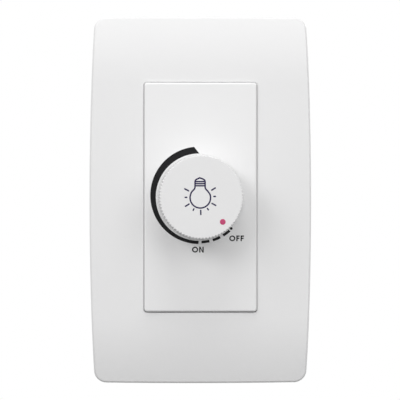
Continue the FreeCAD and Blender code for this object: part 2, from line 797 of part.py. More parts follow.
def make_face_insert():
    body = new_body("face_insert")
    half_x = s.insert_width / 2
    half_z = s.insert_height / 2
    blank = new_sketch(body, "insert_outline", offset=s.collar_depth)
    round_rectangle(blank, (-half_x, half_x), (-half_z, half_z), s.insert_corner)
    pad(body, blank, insert_front - s.collar_depth)
    low = number(insert_back)
    fillet(body, "insert_edges", s.insert_edge, lambda shape, edge: front_edge(shape, edge, low))
    hollow = new_sketch(body, "insert_hollow", offset=s.collar_depth)
    hollow_x = half_x - s.insert_wall
    hollow_z = half_z - s.insert_wall
    rectangle(hollow, (-hollow_x, hollow_x), (-hollow_z, hollow_z))
    cut(body, hollow, insert_back - s.collar_depth)
    bosses = new_sketch(body, "insert_bosses", offset=board_front)
    pilots = new_sketch(body, "insert_pilots", offset=board_front)
    for x, z in screw_places:
        rectangle(bosses, around(x, s.boss_width), around(z, s.boss_width))
        circle(pilots, x, z, s.screw_radius + s.screw_clear)
    pad(body, bosses, insert_back + s.insert_thick / 2 - board_front)
    cut(body, pilots, s.screw_grip + s.margin)
    hole = new_sketch(body, "bushing_hole", offset=s.collar_depth)
    circle(hole, 0, 0, s.bushing_radius + s.bushing_clear)
    cut(body, hole, insert_front - s.collar_depth + s.margin)


def make_rear_housing():
    body = new_body("rear_housing")
    blank = new_sketch(body, "housing_outline", offset=rear_outer)
    round_rectangle(
        blank, (-housing_half_x, housing_half_x), (-housing_half_z, housing_half_z), s.housing_corner
    )
    pad(body, blank, insert_back - rear_outer)
    hollow = new_sketch(body, "housing_hollow", offset=rear_inner)
    rectangle(hollow, (-inner_half_x, inner_half_x), (-inner_half_z, inner_half_z))
    cut(body, hollow, insert_back - rear_inner + s.margin)
    tubes = new_sketch(body, "screw_tubes", offset=rear_inner)
    sinks = new_sketch(body, "screw_sinks", offset=rear_outer)
    holes = new_sketch(body, "screw_holes", offset=rear_outer)
    for x, z in screw_places:
        rectangle(
            tubes,
            (x - s.boss_width / 2, inner_half_x) if x.number > 0 else (-inner_half_x, x + s.boss_width / 2),
            (z - s.boss_width / 2, inner_half_z) if z.number > 0 else (-inner_half_z, z + s.boss_width / 2),
        )
        circle(sinks, x, z, s.head_radius + s.head_clear)
        circle(holes, x, z, s.screw_radius + s.screw_pass)
    pad(body, tubes, s.rear_room)
    cut(body, sinks, s.head_height + s.head_sink)
    cut(body, holes, s.rear_room + s.housing_wall + s.margin)
    drivers = new_sketch(body, "driver_holes", offset=rear_outer)
    for x in way_places:
        rectangle(drivers, around(x, s.driver_size), around(way_middle, s.driver_size))
    cut(body, drivers, s.housing_wall + s.margin)
    wires = new_sketch(body, "wire_window", "XY_Plane", -housing_half_z - s.margin)
    wire_half = s.way_pitch / 2 + s.way_width / 2
    wire_y = s.wire_place - board_rear
    wire_reach = s.wire_radius + s.margin
    rectangle(wires, (block_x - wire_half, block_x + wire_half), (wire_y - wire_reach, wire_y + wire_reach))
    cut(body, wires, s.housing_wall + s.margin * 1.5)
    vent = new_sketch(body, "vent", offset=rear_outer)
    vent_start = -(s.vent_count - 1) * s.vent_pitch / 2
    rectangle(vent, around(vent_start, s.vent_width), (s.vent_low, s.vent_low + s.vent_length))
    first_vent = cut(body, vent, s.housing_wall + s.margin)
    vents = body.newObject("PartDesign::LinearPattern", "vents")
    vents.Originals = [first_vent]
    vents.Direction = (vent, ["H_Axis"])
    bind(vents, "Length", (s.vent_count - 1) * s.vent_pitch)
    bind(vents, "Occurrences", s.vent_count)
    body.Tip = vents
    barbs = new_sketch(body, "barbs", "XY_Plane", s.barb_spread / 2 - s.barb_length / 2)
    tip = housing_half_x + s.barb_height
    seat = housing_half_x - s.housing_wall / 2
    right = [
        (seat, s.barb_clear),
        (tip, s.barb_clear),
        (housing_half_x, s.barb_clear + s.barb_slope),
        (seat, s.barb_clear + s.barb_slope),
    ]
    outline(barbs, right)
    outline(barbs, [(-x, y) for x, y in reversed(right)])
    mirror(body, pad(body, barbs, s.barb_length), "XY_Plane")


def make_housing_screws():
    screws = []
    seat = rear_outer + s.head_sink + s.head_height
    back = rear_outer + s.head_sink
    for i, (x, z) in enumerate(screw_places, 1):
        head = rod(f"housing_head_{i}", s.head_radius, (back, seat), x, z)
        shank = rod(f"housing_shank_{i}", s.screw_radius, (seat, board_front + s.screw_grip), x, z)
        deep = (back - s.margin, back + s.recess_depth)
        recess = box(f"housing_recess_{i}", around(x, s.head_radius * 2.2), deep, around(z, s.recess_width))
        screws.append(less(f"housing_screw_{i}", fused(f"housing_blank_{i}", [head, shank]), [recess]))
    keep(together("housing_screws", screws), "housing_screws")


def make_circuit_board():
    body = new_body("circuit_board")
    half_x = inner_half_x - s.board_clear
    half_z = inner_half_z - s.board_clear
    sketch = new_sketch(body, "board_outline", offset=board_rear)
    rectangle(sketch, (-half_x, half_x), (-half_z, half_z))
    for x, z in screw_places:
        circle(sketch, x, z, s.screw_radius + s.screw_pass)
    circle(sketch, sink_x, clamp_z, s.clamp_radius + s.clamp_clear)
    for places in lead_places.values():
        for x, z in places:
            rectangle(sketch, around(x, lead_hole), around(z, lead_hole))
    pad(body, sketch, s.board_thick)


def pair(x, z, spread):
    return [(x - spread / 2, z), (x + spread / 2, z)]


def upright_pair(x, z, spread):
    return [(x, z - spread / 2), (x, z + spread / 2)]


lead_places = {
    "switch": pair(0, s.switch_pin_z, s.switch_pin_x * 2),
    "lugs": [(-s.lug_pitch, lug_foot), (0, lug_foot), (s.lug_pitch, lug_foot)],
    "triac": [(sink_x + s.leg_pitch * i, leg_low) for i in (-1, 0, 1)],
    "choke": upright_pair(choke_x, choke_z, s.choke_leads),
    "film": pair(film_x, film_z, s.film_leads),
    "timing": upright_pair(timing_x, s.timing_z, s.timing_leads),
    "resistor_1": upright_pair(-side_x, 0, s.resistor_leads),
    "resistor_2": upright_pair(side_x, 0, s.resistor_leads),
    "diac": upright_pair(side_x, s.diac_z, s.diac_leads),
    "clamp": pair(block_x, way_middle, s.way_pitch),
}


def make_heat_sink():
    body = new_body("heat_sink")
    half = s.sink_width / 2
    front = board_front + s.sink_height
    sheet_front = board_front + s.sink_thick
    points = [
        (sink_x - half, -board_front),
        (sink_x - half, -front),
        (sink_x - half + s.sink_thick, -front),
        (sink_x - half + s.sink_thick, -sheet_front),
        (sink_x + half - s.sink_thick, -sheet_front),
        (sink_x + half - s.sink_thick, -front),
        (sink_x + half, -front),
        (sink_x + half, -board_front),
    ]
    pad(body, outline(new_sketch(body, "sink_profile", "XY_Plane", sink_low), points), s.sink_length)
    hole = new_sketch(body, "sink_hole", offset=board_front)
    circle(hole, sink_x, clamp_z, s.clamp_radius + s.clamp_clear)
    cut(body, hole, s.sink_thick + s.margin)


def make_triac():
    low = sink_low + s.triac_rise
    high = low + s.triac_length
    seat = board_front + s.sink_thick
    tab_front = seat + s.tab_thick
    across = around(sink_x, s.triac_width)
    keep(box("triac_body", across, (tab_front, seat + s.triac_thick), (low, high)), "triac_body")
    plate = box("tab_plate", across, (seat, tab_front), (low, high + s.tab_length))
    hole = rod(
        "tab_bore", s.clamp_radius + s.clamp_clear, (seat - s.margin, tab_front + s.margin), sink_x, clamp_z
    )
    legs = []
    for i, (x, z) in enumerate(lead_places["triac"], 1):
        legs.append(lead(f"leg_{i}", x, z, tab_front))
        depth = (tab_front - s.lead_size, tab_front)
        legs.append(box(f"leg_top_{i}", around(x, s.lead_size), depth, (z, low + s.margin)))
    keep(fused("triac_tab", [less("tab_drilled", plate, [hole]), *legs]), "triac_tab")
    head = rod("clamp_head", s.clamp_head, (tab_front, tab_front + s.clamp_head_height), sink_x, clamp_z)
    nut_rear = board_rear - s.clamp_nut_height
    shank = rod("clamp_shank", s.clamp_radius, (nut_rear - s.margin, tab_front), sink_x, clamp_z)
    top = tab_front + s.clamp_head_height
    slot = box(
        "clamp_slot",
        around(sink_x, s.clamp_head * 2.2),
        (top - s.recess_depth, top + s.margin),
        around(clamp_z, s.recess_width),
    )
    keep(less("triac_screw", fused("clamp_blank", [head, shank]), [slot]), "triac_screw")
    nut = rod("clamp_nut", s.clamp_nut, (nut_rear, board_rear), sink_x, clamp_z, "Part::Prism")
    bore = rod(
        "clamp_nut_bore",
        s.clamp_radius + s.thread_clear,
        (nut_rear - s.margin, board_rear + s.margin),
        sink_x,
        clamp_z,
    )
    keep(less("triac_nut", nut, [bore]), "triac_nut")


def make_choke():
    depth = board_front + s.stand_off + s.choke_radius
    core = upright_rod(
        "choke_core", s.choke_core_radius, choke_x, depth, around(choke_z, s.choke_core_length)
    )
    keep(core, "choke_core")
    coil = around(choke_z, s.choke_length)
    outer = upright_rod("winding_blank", s.choke_radius, choke_x, depth, coil)
    inner = upright_rod("winding_bore", s.choke_core_radius + s.choke_clear, choke_x, depth, coil)
    front = depth - (s.choke_radius + s.choke_core_radius) / 2
    pins = [lead(f"choke_lead_{i}", x, z, front) for i, (x, z) in enumerate(lead_places["choke"], 1)]
    keep(fused("choke_winding", [less("winding_tube", outer, [inner]), *pins]), "choke_winding")


def capacitor(label, name, across, upright, height):
    block = box(f"{name}_block", across, (board_front, board_front + height), upright)
    pins = [
        lead(f"{name}_lead_{i}", x, z, board_front + s.margin)
        for i, (x, z) in enumerate(lead_places[name], 1)
    ]
    keep(fused(label, [block, *pins]), label)


def make_capacitors():
    capacitor(
        "suppression_capacitor",
        "film",
        around(film_x, s.film_width),
        around(film_z, s.film_thick),
        s.film_height,
    )
    capacitor(
        "timing_capacitor",
        "timing",
        around(timing_x, s.timing_thick),
        around(s.timing_z, s.timing_width),
        s.timing_height,
    )


def axial(name, radius, length):
    """A rod-shaped part on bent leads, lying upright on the board."""
    (x, low), (_, high) = lead_places[name]
    depth = board_front + s.stand_off + radius
    pieces = [upright_rod(f"{name}_rod", radius, x, depth, around((low + high) / 2, length))]
    front = depth + s.lead_size / 2
    for i, z in enumerate((low, high), 1):
        pieces.append(lead(f"{name}_lead_{i}", x, z, front))
    pieces.append(box(f"{name}_wire", around(x, s.lead_size), (front - s.lead_size, front), (low, high)))
    return fused(name, pieces)


def make_small_parts():
    resistors = [axial(f"resistor_{i}", s.resistor_radius, s.resistor_length) for i in (1, 2)]
    keep(together("resistors", resistors), "resistors")
    keep(axial("diac", s.diac_radius, s.diac_length), "diac")


def make_terminals():
    body = new_body("terminal_block")
    high = block_low + s.block_height
    half = s.block_width / 2
    blank = new_sketch(body, "block_outline", offset=rear_inner)
    rectangle(blank, (block_x - half, block_x + half), (block_low, high))
    pad(body, blank, s.rear_room)
    ways = new_sketch(body, "clamp_pockets", offset=way_rear)
    drivers = new_sketch(body, "block_drivers", offset=rear_inner)
    wires = new_sketch(body, "wire_entries", "XY_Plane", block_low)
    for x in way_places:
        rectangle(ways, around(x, s.way_width), (way_low, way_low + s.way_height))
        rectangle(drivers, around(x, s.driver_size), around(way_middle, s.driver_size))
        circle(wires, x, s.wire_place - board_rear, s.wire_radius)
    cut(body, ways, s.way_depth + s.margin)
    cut(body, drivers, s.rear_room - s.way_depth + s.margin)
    cut(body, wires, s.way_rise + s.margin)
    clamps = []
    screws = []
    for i, x in enumerate(way_places, 1):
        width = s.way_width - s.cage_clear * 2
        height = around(way_middle, s.way_height - s.cage_clear * 2)
        back = way_rear + s.cage_clear
        cage = box(f"cage_{i}", around(x, width), (back, board_rear), height)
        mouth = box(
            f"cage_mouth_{i}",
            around(x, width - s.cage_wall * 2),
            (back + s.cage_wall * 1.5, board_rear - s.cage_wall),
            around(way_middle, s.way_height * 2),
        )
        thread = rod(
            f"cage_thread_{i}",
            s.terminal_radius + s.terminal_clear,
            (back - s.margin, back + s.cage_wall * 2),
            x,
            way_middle,
        )
        pin = box(
            f"cage_pin_{i}",
            around(x, s.lead_size),
            (board_rear - s.cage_wall / 2, board_front + s.lead_tail),
            around(way_middle, s.lead_size),
        )
        clamps.append(fused(f"clamp_{i}", [less(f"cage_open_{i}", cage, [mouth, thread]), pin]))
        screw_back = back - s.terminal_back
        end = back + s.cage_wall * 1.5 + s.terminal_reach
        shank = rod(f"terminal_shank_{i}", s.terminal_radius, (screw_back, end), x, way_middle)
        slot = box(
            f"terminal_slot_{i}",
            around(x, s.terminal_radius * 2.2),
            (screw_back - s.margin, screw_back + s.recess_depth),
            around(way_middle, s.recess_width),
        )
        screws.append(less(f"terminal_screw_{i}", shank, [slot]))
    keep(together("terminal_clamps", clamps), "terminal_clamps")
    keep(together("terminal_screws", screws), "terminal_screws")


def square(sketch, half):
    return rectangle(sketch, (-half, half), (-half, half))


def make_potentiometer():
    bushing = new_body("pot_bushing")
    pad(bushing, square(new_sketch(bushing, "bushing_flange", offset=pot_front), pot_half), s.pot_flange)
    sleeve = new_sketch(bushing, "bushing_sleeve", offset=pot_front)
    circle(sleeve, 0, 0, s.bushing_radius)
    pad(bushing, sleeve, bushing_front - pot_front)
    bore = new_sketch(bushing, "bushing_bore", offset=pot_front)
    circle(bore, 0, 0, s.shaft_radius + s.shaft_clear)
    cut(bushing, bore, bushing_front - pot_front + s.margin)

    hole = s.bushing_radius + s.thread_clear
    washer = rod("washer_disc", s.washer_radius, (insert_front, washer_front))
    washer_bore = rod("washer_bore", hole, (insert_front - s.margin, washer_front + s.margin))
    keep(less("pot_washer", washer, [washer_bore]), "pot_washer")
    nut_front = washer_front + s.nut_height
    nut = rod("nut_prism", s.nut_radius, (washer_front, nut_front), kind="Part::Prism")
    nut_bore = rod("nut_bore", hole, (washer_front - s.margin, nut_front + s.margin))
    keep(less("pot_nut", nut, [nut_bore]), "pot_nut")

    can = new_body("pot_can")
    inner = pot_half - s.pot_wall
    socket = s.rotor_core + s.spigot_clear
    pad(can, square(new_sketch(can, "can_outline", offset=switch_front), pot_half), s.pot_depth)
    room = square(new_sketch(can, "can_hollow", offset=switch_front + s.pot_wall), inner)
    cut(can, room, s.pot_depth + s.margin)
    cut(can, circle(new_sketch(can, "can_eye", offset=switch_front), 0, 0, socket), s.pot_wall + s.margin)
    gap = new_sketch(can, "ear_opening", "XY_Plane", -pot_half - s.margin)
    gap_half = s.ear_width / 2 + s.wafer_clear
    gap_rear = wafer_rear - s.lug_thick - s.wafer_clear
    rectangle(gap, (-gap_half, gap_half), (-pot_front - s.margin, -gap_rear))
    cut(can, gap, s.pot_wall + s.margin * 2)

    wafer = new_body("pot_wafer")
    side = inner - s.wafer_clear
    ear = s.ear_width / 2
    points = [
        (-ear, -s.ear_reach),
        (ear, -s.ear_reach),
        (ear, -side),
        (side, -side),
        (side, side),
        (-side, side),
        (-side, -side),
        (-ear, -side),
    ]
    pad(wafer, outline(new_sketch(wafer, "wafer_outline", offset=wafer_rear), points), s.wafer_thick)
    eye = circle(new_sketch(wafer, "wafer_eye", offset=wafer_rear), 0, 0, s.shaft_radius + s.spigot_clear)
    cut(wafer, eye, s.wafer_thick + s.margin)

    lugs = []
    for i, (x, z) in enumerate(lead_places["lugs"], 1):
        plate = (wafer_rear - s.lug_thick, wafer_rear)
        rise = (-s.ear_reach, s.lug_length - s.ear_reach)
        top = box(f"lug_top_{i}", around(x, s.lug_width), plate, rise)
        foot = box(
            f"lug_foot_{i}", around(x, s.lead_size), (lead_end, wafer_rear), around(z, s.lug_thick)
        )
        lugs.append(fused(f"lug_{i}", [top, foot]))
    keep(together("pot_lugs", lugs), "pot_lugs")

    switch = new_body("snap_switch")
    block = square(new_sketch(switch, "switch_outline", offset=board_front), s.switch_width / 2)
    pad(switch, block, s.switch_depth)
    floor = switch_front - s.spigot_depth - s.spigot_clear
    cut(switch, circle(new_sketch(switch, "switch_eye", offset=floor), 0, 0, socket), s.switch_depth)
    pins = [lead(f"switch_pin_{i}", x, z, board_front) for i, (x, z) in enumerate(lead_places["switch"], 1)]
    keep(together("switch_pins", pins), "switch_pins")


def make_shaft():
    shaft = new_body("pot_shaft")
    neck = s.shaft_radius - s.clip_groove
    spigot_end = switch_front - s.spigot_depth
    points = [
        (0, -shaft_front),
        (s.shaft_radius, -shaft_front),
        (s.shaft_radius, -clip_front - s.clip_clear),
        (neck, -clip_front - s.clip_clear),
        (neck, -bushing_front),
        (s.shaft_radius, -bushing_front),
        (s.shaft_radius, -rotor_front),
        (s.rotor_core, -rotor_front),
        (s.rotor_core, -spigot_end),
        (0, -spigot_end),
    ]
    turn(shaft, outline(new_sketch(shaft, "shaft_profile", "XY_Plane"), points))
    flat = new_sketch(shaft, "shaft_flat", offset=hub_rear)
    rectangle(flat, (-s.shaft_radius, s.shaft_radius), (s.shaft_flat, s.shaft_radius + s.margin))
    cut(shaft, flat, shaft_front - hub_rear + s.margin)

    rotor = new_body("pot_rotor")
    arm = new_sketch(rotor, "rotor_outline", offset=rotor_rear)
    rectangle(arm, around(0, s.rotor_width), around(0, s.rotor_length))
    pad(rotor, arm, s.rotor_thick)
    eye = circle(new_sketch(rotor, "rotor_eye", offset=rotor_rear), 0, 0, s.rotor_core + s.rotor_clear)
    cut(rotor, eye, s.rotor_thick + s.margin)

    across = around(0, s.wiper_width)
    strip = box(
        "wiper_strip", across, (rotor_front, rotor_front + s.wiper_thick), (s.wiper_inner, s.wiper_outer)
    )
    finger = box(
        "wiper_finger",
        across,
        (rotor_front, wafer_rear - s.finger_gap),
        (s.wiper_outer - s.finger_length, s.wiper_outer),
    )
    keep(fused("pot_wiper", [strip, finger]), "pot_wiper")

    half = s.clip_width / 2
    past = (clip_rear - s.margin, clip_front + s.margin)
    seat = neck + s.clip_clear
    plate = box("clip_plate", (-half, half), (clip_rear, clip_front), (-half, half))
    eye = rod("clip_eye", seat, past)
    mouth = box("clip_mouth", (-seat, seat), past, (-half - s.margin, 0))
    keep(less("retaining_clip", plate, [eye, mouth]), "retaining_clip")


def make_knob():
    body = new_body("knob")
    inner = s.knob_radius - s.knob_wall
    base = s.knob_radius + s.knob_flare
    points = [
        (0, -knob_face),
        (s.knob_radius - s.knob_edge, -knob_face),
        (s.knob_radius, s.knob_edge - knob_face),
        (base, -knob_rear),
        (inner, -knob_rear),
        (inner, -hub_end),
        (s.hub_radius, -hub_end),
        (s.hub_radius, -hub_rear),
        (0, -hub_rear),
    ]
    turn(body, outline(new_sketch(body, "knob_profile", "XY_Plane"), points))

    def rib_section(name, depth, valley):
        half = s.rib_width / 2
        foot = valley - s.rib_foot
        points = [(-half, foot), (half, foot), (0, valley + s.rib_height)]
        return outline(new_sketch(body, name, offset=depth), points)

    rear = rib_section("rib_rear", knob_rear, base)
    front = rib_section("rib_front", knob_face - s.knob_edge, s.knob_radius)
    nose = rib_section("rib_nose", knob_face, s.knob_radius - s.knob_edge)
    polar(body, loft(body, "AdditiveLoft", [rear, front, nose]), rear, s.rib_count)

    bore = s.shaft_radius + s.bore_clear
    flat = s.shaft_flat + s.spring_thick + s.spring_clear * 2
    chord = root(bore * bore - flat * flat)
    hole = new_sketch(body, "hub_bore", offset=hub_rear)
    outline(hole, [(chord, flat), (-chord, flat), (0, -bore)], {1: bore, 2: bore})
    cut(body, hole, hub_end - hub_rear)

    low = s.shaft_flat + s.spring_clear
    depth = (hub_rear + s.spring_inset, shaft_front - s.spring_inset)
    spring = box("knob_spring", around(0, s.spring_width), depth, (low, low + s.spring_thick))
    keep(spring, "knob_spring")


make_cover_plate()
make_mounting_frame()
make_face_insert()
make_rear_housing()
make_housing_screws()
make_circuit_board()
make_heat_sink()
make_triac()
make_choke()
make_capacitors()
make_small_parts()
make_terminals()
make_potentiometer()
make_shaft()
make_knob()

doc.recompute()
for item in doc.Objects:
    if any(word in state for state in item.State for word in ("Invalid", "Error")):
        raise RuntimeError(f"{item.Name} did not build: {item.State}")
for piece in nodes:
    if piece.Shape.isNull() or not piece.Shape.isValid() or not piece.Shape.Solids:
        raise RuntimeError(f"{piece.Label} is not a valid solid")

os.makedirs("parts", exist_ok=True)
for piece in nodes:
    piece.Shape.exportStep(f"parts/{piece.Label}.step")
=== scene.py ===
"""Finishes, print, light and camera for a rotary dimmer switch on a wall plate.

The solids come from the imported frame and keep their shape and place. This file gives each of them its
material and adds what is printed on the face insert and on the knob. Lengths are metres, the front faces
-Y and +Z is up. Angles of the printed scale are clockwise from the top, seen from the front.
"""

import math
from typing import NamedTuple

import bmesh
import bpy
from bpy.props import FloatProperty, FloatVectorProperty, IntProperty, PointerProperty
from bpy.types import Operator, Panel, PropertyGroup
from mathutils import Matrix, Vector


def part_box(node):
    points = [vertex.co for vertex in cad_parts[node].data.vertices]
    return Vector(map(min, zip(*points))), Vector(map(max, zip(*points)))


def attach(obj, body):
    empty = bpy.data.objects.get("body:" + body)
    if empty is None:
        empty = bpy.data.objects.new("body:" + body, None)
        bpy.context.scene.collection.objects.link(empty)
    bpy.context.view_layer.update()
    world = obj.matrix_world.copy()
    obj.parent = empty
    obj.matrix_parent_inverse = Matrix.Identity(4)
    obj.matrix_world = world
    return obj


bl_info = {
    "name": "Rotary dimmer finish",
    "version": (1, 0, 0),
    "blender": (4, 5, 0),
    "location": "View3D > Sidebar > Dimmer",
    "description": "Materials, printed scale, lettering, bulb sign and stage for a rotary dimmer switch",
    "category": "Object",
}

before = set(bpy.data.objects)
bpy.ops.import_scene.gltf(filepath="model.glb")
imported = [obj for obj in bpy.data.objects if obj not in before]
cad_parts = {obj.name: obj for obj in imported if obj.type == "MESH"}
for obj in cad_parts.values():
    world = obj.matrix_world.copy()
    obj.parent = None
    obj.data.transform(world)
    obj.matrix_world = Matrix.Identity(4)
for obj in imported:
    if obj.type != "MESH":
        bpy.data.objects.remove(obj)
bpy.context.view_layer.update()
INSERT_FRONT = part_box("face_insert")[0].y
KNOB_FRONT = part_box("knob")[0].y
BOARD_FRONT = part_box("circuit_board")[0].y
MM = 0.001


def colour(name, description, default):
    return FloatVectorProperty(
        name=name, description=description, subtype="COLOR", size=3, min=0.0, max=1.0, default=default
    )


def length(name, description, default):
    return FloatProperty(name=name, description=description, unit="LENGTH", precision=6, default=default)


def offset(name, description, default):
    return FloatVectorProperty(
        name=name, description=description, unit="LENGTH", size=2, precision=6, default=default
    )


def angle(name, description, degrees):
    return FloatProperty(name=name, description=description, subtype="ANGLE", default=math.radians(degrees))


def power(name, description, default):
    return FloatProperty(name=name, description=description, subtype="POWER", default=default)


class DimmerPlastic(PropertyGroup):
    """Colours and grain of the mouldings."""

    white: colour("White", "Plate, insert and knob", (0.83, 0.83, 0.832))
    grey: colour("Grey", "Mounting frame and rear housing", (0.36, 0.365, 0.37))
    roughness: FloatProperty(
        name="Roughness", description="White mouldings", subtype="FACTOR", min=0.0, max=1.0, default=0.42
    )
    grain_size: length("Grain size", "Width of a grain of the moulded texture", 0.00032)
    grain_height: length("Grain height", "Height of the moulded texture", 0.0000045)
    edge_radius: length("Edge radius", "Softening of the edges of the mouldings", 0.00035)


class DimmerPrint(PropertyGroup):
    """Sizes and colours of the printed scale, the words, the bulb sign and the pointer."""

    ink: colour("Ink", "Scale and words", (0.010, 0.010, 0.011))
    sign_ink: colour("Sign ink", "Bulb sign", (0.03, 0.025, 0.08))
    pointer: colour("Pointer", "Dot on the knob", (0.55, 0.052, 0.165))
    height: length("Height", "Ink in front of the surface", 0.00002)
    centre: offset("Centre", "Middle of the scale, across and up from the knob's axis", (-0.00034, 0.00004))
    wedge_inside: length("Wedge inside", "Inside of the wedge", 0.01385)
    wedge_radius: length("Wedge radius", "Outside of the wedge", 0.01543)
    wedge_shift: offset("Wedge shift", "Middle of its outside from the scale's middle", (-0.00015, 0.00055))
    wedge_drop: length("Wedge drop", "Middle of the wedge's inside below the middle of the scale", 0.00004)
    wedge_thin: angle("Thin end", "Thin end of the wedge", 180.8)
    wedge_thick: angle("Thick end", "Inner corner of the thick end of the wedge", 359.8)
    wedge_slant: angle("Slant", "Outer corner of the thick end before the inner one", 5.6)
    dash_count: IntProperty(name="Dashes", description="Dashes between the two words", min=1, default=3)
    dash_inside: length("Dash inside", "Inside of the dashes", 0.01387)
    dash_width: length("Dash width", "Width of a dash", 0.00084)
    dash_span: angle("Dash span", "Length of a dash", 10.2)
    dash_first: angle("First dash", "Middle of the first dash", 172.4)
    dash_step: angle("Dash step", "From one dash to the next", -14.6)
    dot_place: angle("Dot place", "Dot at the end of the scale", 134.7)
    dot_reach: length("Dot reach", "Dot from the middle of the scale", 0.01416)
    dot_radius: length("Dot radius", "Dot at the end of the scale", 0.00043)
    letter_stroke: length("Letter stroke", "Line width of the words", 0.0004)
    sign_stroke: length("Sign stroke", "Line width of the bulb", 0.00046)
    ray_stroke: length("Ray stroke", "Line width of the rays", 0.00045)
    pointer_radius: length("Pointer radius", "Dot on the knob", 0.0009)
    pointer_place: angle("Pointer place", "Dot on the knob", 139.2)
    pointer_reach: length("Pointer reach", "Dot on the knob from its axis", 0.01014)


class DimmerStage(PropertyGroup):
    """Camera, lamps and floor."""

    distance: length("Camera distance", "Camera in front of the wall plane", 0.6)
    camera_side: length("Camera side", "Camera to the left of the axis", 0.0105)
    lens: FloatProperty(name="Lens", description="Focal length on a 36 mm sensor", default=167.6)
    side_lamp: power("Side lamp", "Lamp far to the left", 0.76)
    main_lamp: power("Main lamp", "Lamp at the upper left", 1.11)
    top_lamp: power("Top lamp", "Lamp above", 2.0)
    fill_lamp: power("Fill lamp", "Lamp at the right", 1.45)
    back_lamp: power("Back lamp", "Lamp behind the wall", 3.4)
    lamp_reach: length("Lamp reach", "Lamps from the middle of the switch", 0.8)
    ambient: FloatProperty(name="Ambient", description="Even light from all round", default=0.5)
    floor_drop: length("Floor drop", "Floor below the axis", 0.3)
    floor_half: length("Floor half", "Half the side of the floor", 0.9)
    floor_tone: colour("Floor tone", "Floor as the camera sees it", (0.82, 0.82, 0.82))
    floor_bounce: colour("Floor bounce", "Floor as it lights the switch", (0.3, 0.3, 0.3))


def link(tree, *pairs):
    for start, end in pairs:
        tree.links.new(start, end)


def add(tree, kind, values=None, **settings):
    """A node with its settings and the plain values of its inputs."""
    node = tree.nodes.new(kind)
    for name, value in settings.items():
        setattr(node, name, value)
    for name, value in (values or {}).items():
        node.inputs[name].default_value = value
    return node


def own_place(tree):
    """A piece's own coordinates."""
    return add(tree, "ShaderNodeTexCoord").outputs["Object"]


def new_group(name, inputs, outputs):
    """An empty shader group with named sockets, and its input and output nodes."""
    group = bpy.data.node_groups.new(name, "ShaderNodeTree")
    for label, kind, default in inputs:
        socket = group.interface.new_socket(label, in_out="INPUT", socket_type=f"NodeSocket{kind}")
        socket.default_value = default
    for label, kind in outputs:
        group.interface.new_socket(label, in_out="OUTPUT", socket_type=f"NodeSocket{kind}")
    return group, group.nodes.new("NodeGroupInput"), group.nodes.new("NodeGroupOutput")


def noise(tree, vector, scale, detail):
    """A noise whose scale is a number or another node's output."""
    node = add(tree, "ShaderNodeTexNoise", {"Detail": detail})
    link(tree, (vector, node.inputs["Vector"]))
    if isinstance(scale, (int, float)):
        node.inputs["Scale"].default_value = scale
    else:
        link(tree, (scale, node.inputs["Scale"]))
    return node.outputs["Fac"]


def blend(tree, kind, factor, first, second):
    """A mix of two outputs, colours (RGBA) or values (FLOAT)."""
    node = add(tree, "ShaderNodeMix", data_type=kind)
    link(tree, (factor, node.inputs["Factor"]), (first, node.inputs["A"]), (second, node.inputs["B"]))
    return node.outputs["Result"]


TONES = [
    ("Tone", "Color", (0.8, 0.8, 0.8, 1.0)),
    ("Tint", "Color", (0.7, 0.7, 0.7, 1.0)),
    ("Smooth", "Float", 0.3),
    ("Rough", "Float", 0.5),
    ("Scale", "Float", 3000.0),
]
LOOKS = [("Color", "Color"), ("Roughness", "Float"), ("Height", "Float")]
# Stretch of a metal's fine lines, which run up the piece or along the knob's axis.
LINES_UP = (1.0, 1.0, 0.04)
LINES_INWARD = (1.0, 0.06, 1.0)


def moulded_grain():
    """Fine moulded texture with slow changes of tone and gloss."""
    if "moulded_grain" in bpy.data.node_groups:
        return bpy.data.node_groups["moulded_grain"]
    group, given, out = new_group("moulded_grain", TONES, LOOKS)
    place = own_place(group)
    slow = noise(group, place, scale=55.0, detail=3.0)
    gloss = noise(group, place, scale=320.0, detail=3.0)
    grain = noise(group, place, scale=given.outputs["Scale"], detail=3.0)
    tone = blend(group, "RGBA", slow, given.outputs["Tone"], given.outputs["Tint"])
    rough = blend(group, "FLOAT", gloss, given.outputs["Smooth"], given.outputs["Rough"])
    link(group, (tone, out.inputs["Color"]), (rough, out.inputs["Roughness"]), (grain, out.inputs["Height"]))
    return group


def drawn_metal():
    """Metal with fine lines along one direction, cloudy gloss and dull spots."""
    if "drawn_metal" in bpy.data.node_groups:
        return bpy.data.node_groups["drawn_metal"]
    group, given, out = new_group("drawn_metal", TONES + [("Stretch", "Vector", LINES_UP)], LOOKS)
    place = own_place(group)
    lines = add(group, "ShaderNodeMapping")
    link(group, (place, lines.inputs["Vector"]), (given.outputs["Stretch"], lines.inputs["Scale"]))
    fine = noise(group, lines.outputs["Vector"], scale=given.outputs["Scale"], detail=4.0)
    cloud = noise(group, place, scale=260.0, detail=4.0)
    tone = blend(group, "RGBA", cloud, given.outputs["Tone"], given.outputs["Tint"])
    mixed = blend(group, "FLOAT", fine, cloud, fine)
    rough = blend(group, "FLOAT", mixed, given.outputs["Smooth"], given.outputs["Rough"])
    link(group, (tone, out.inputs["Color"]), (rough, out.inputs["Roughness"]), (fine, out.inputs["Height"]))
    return group


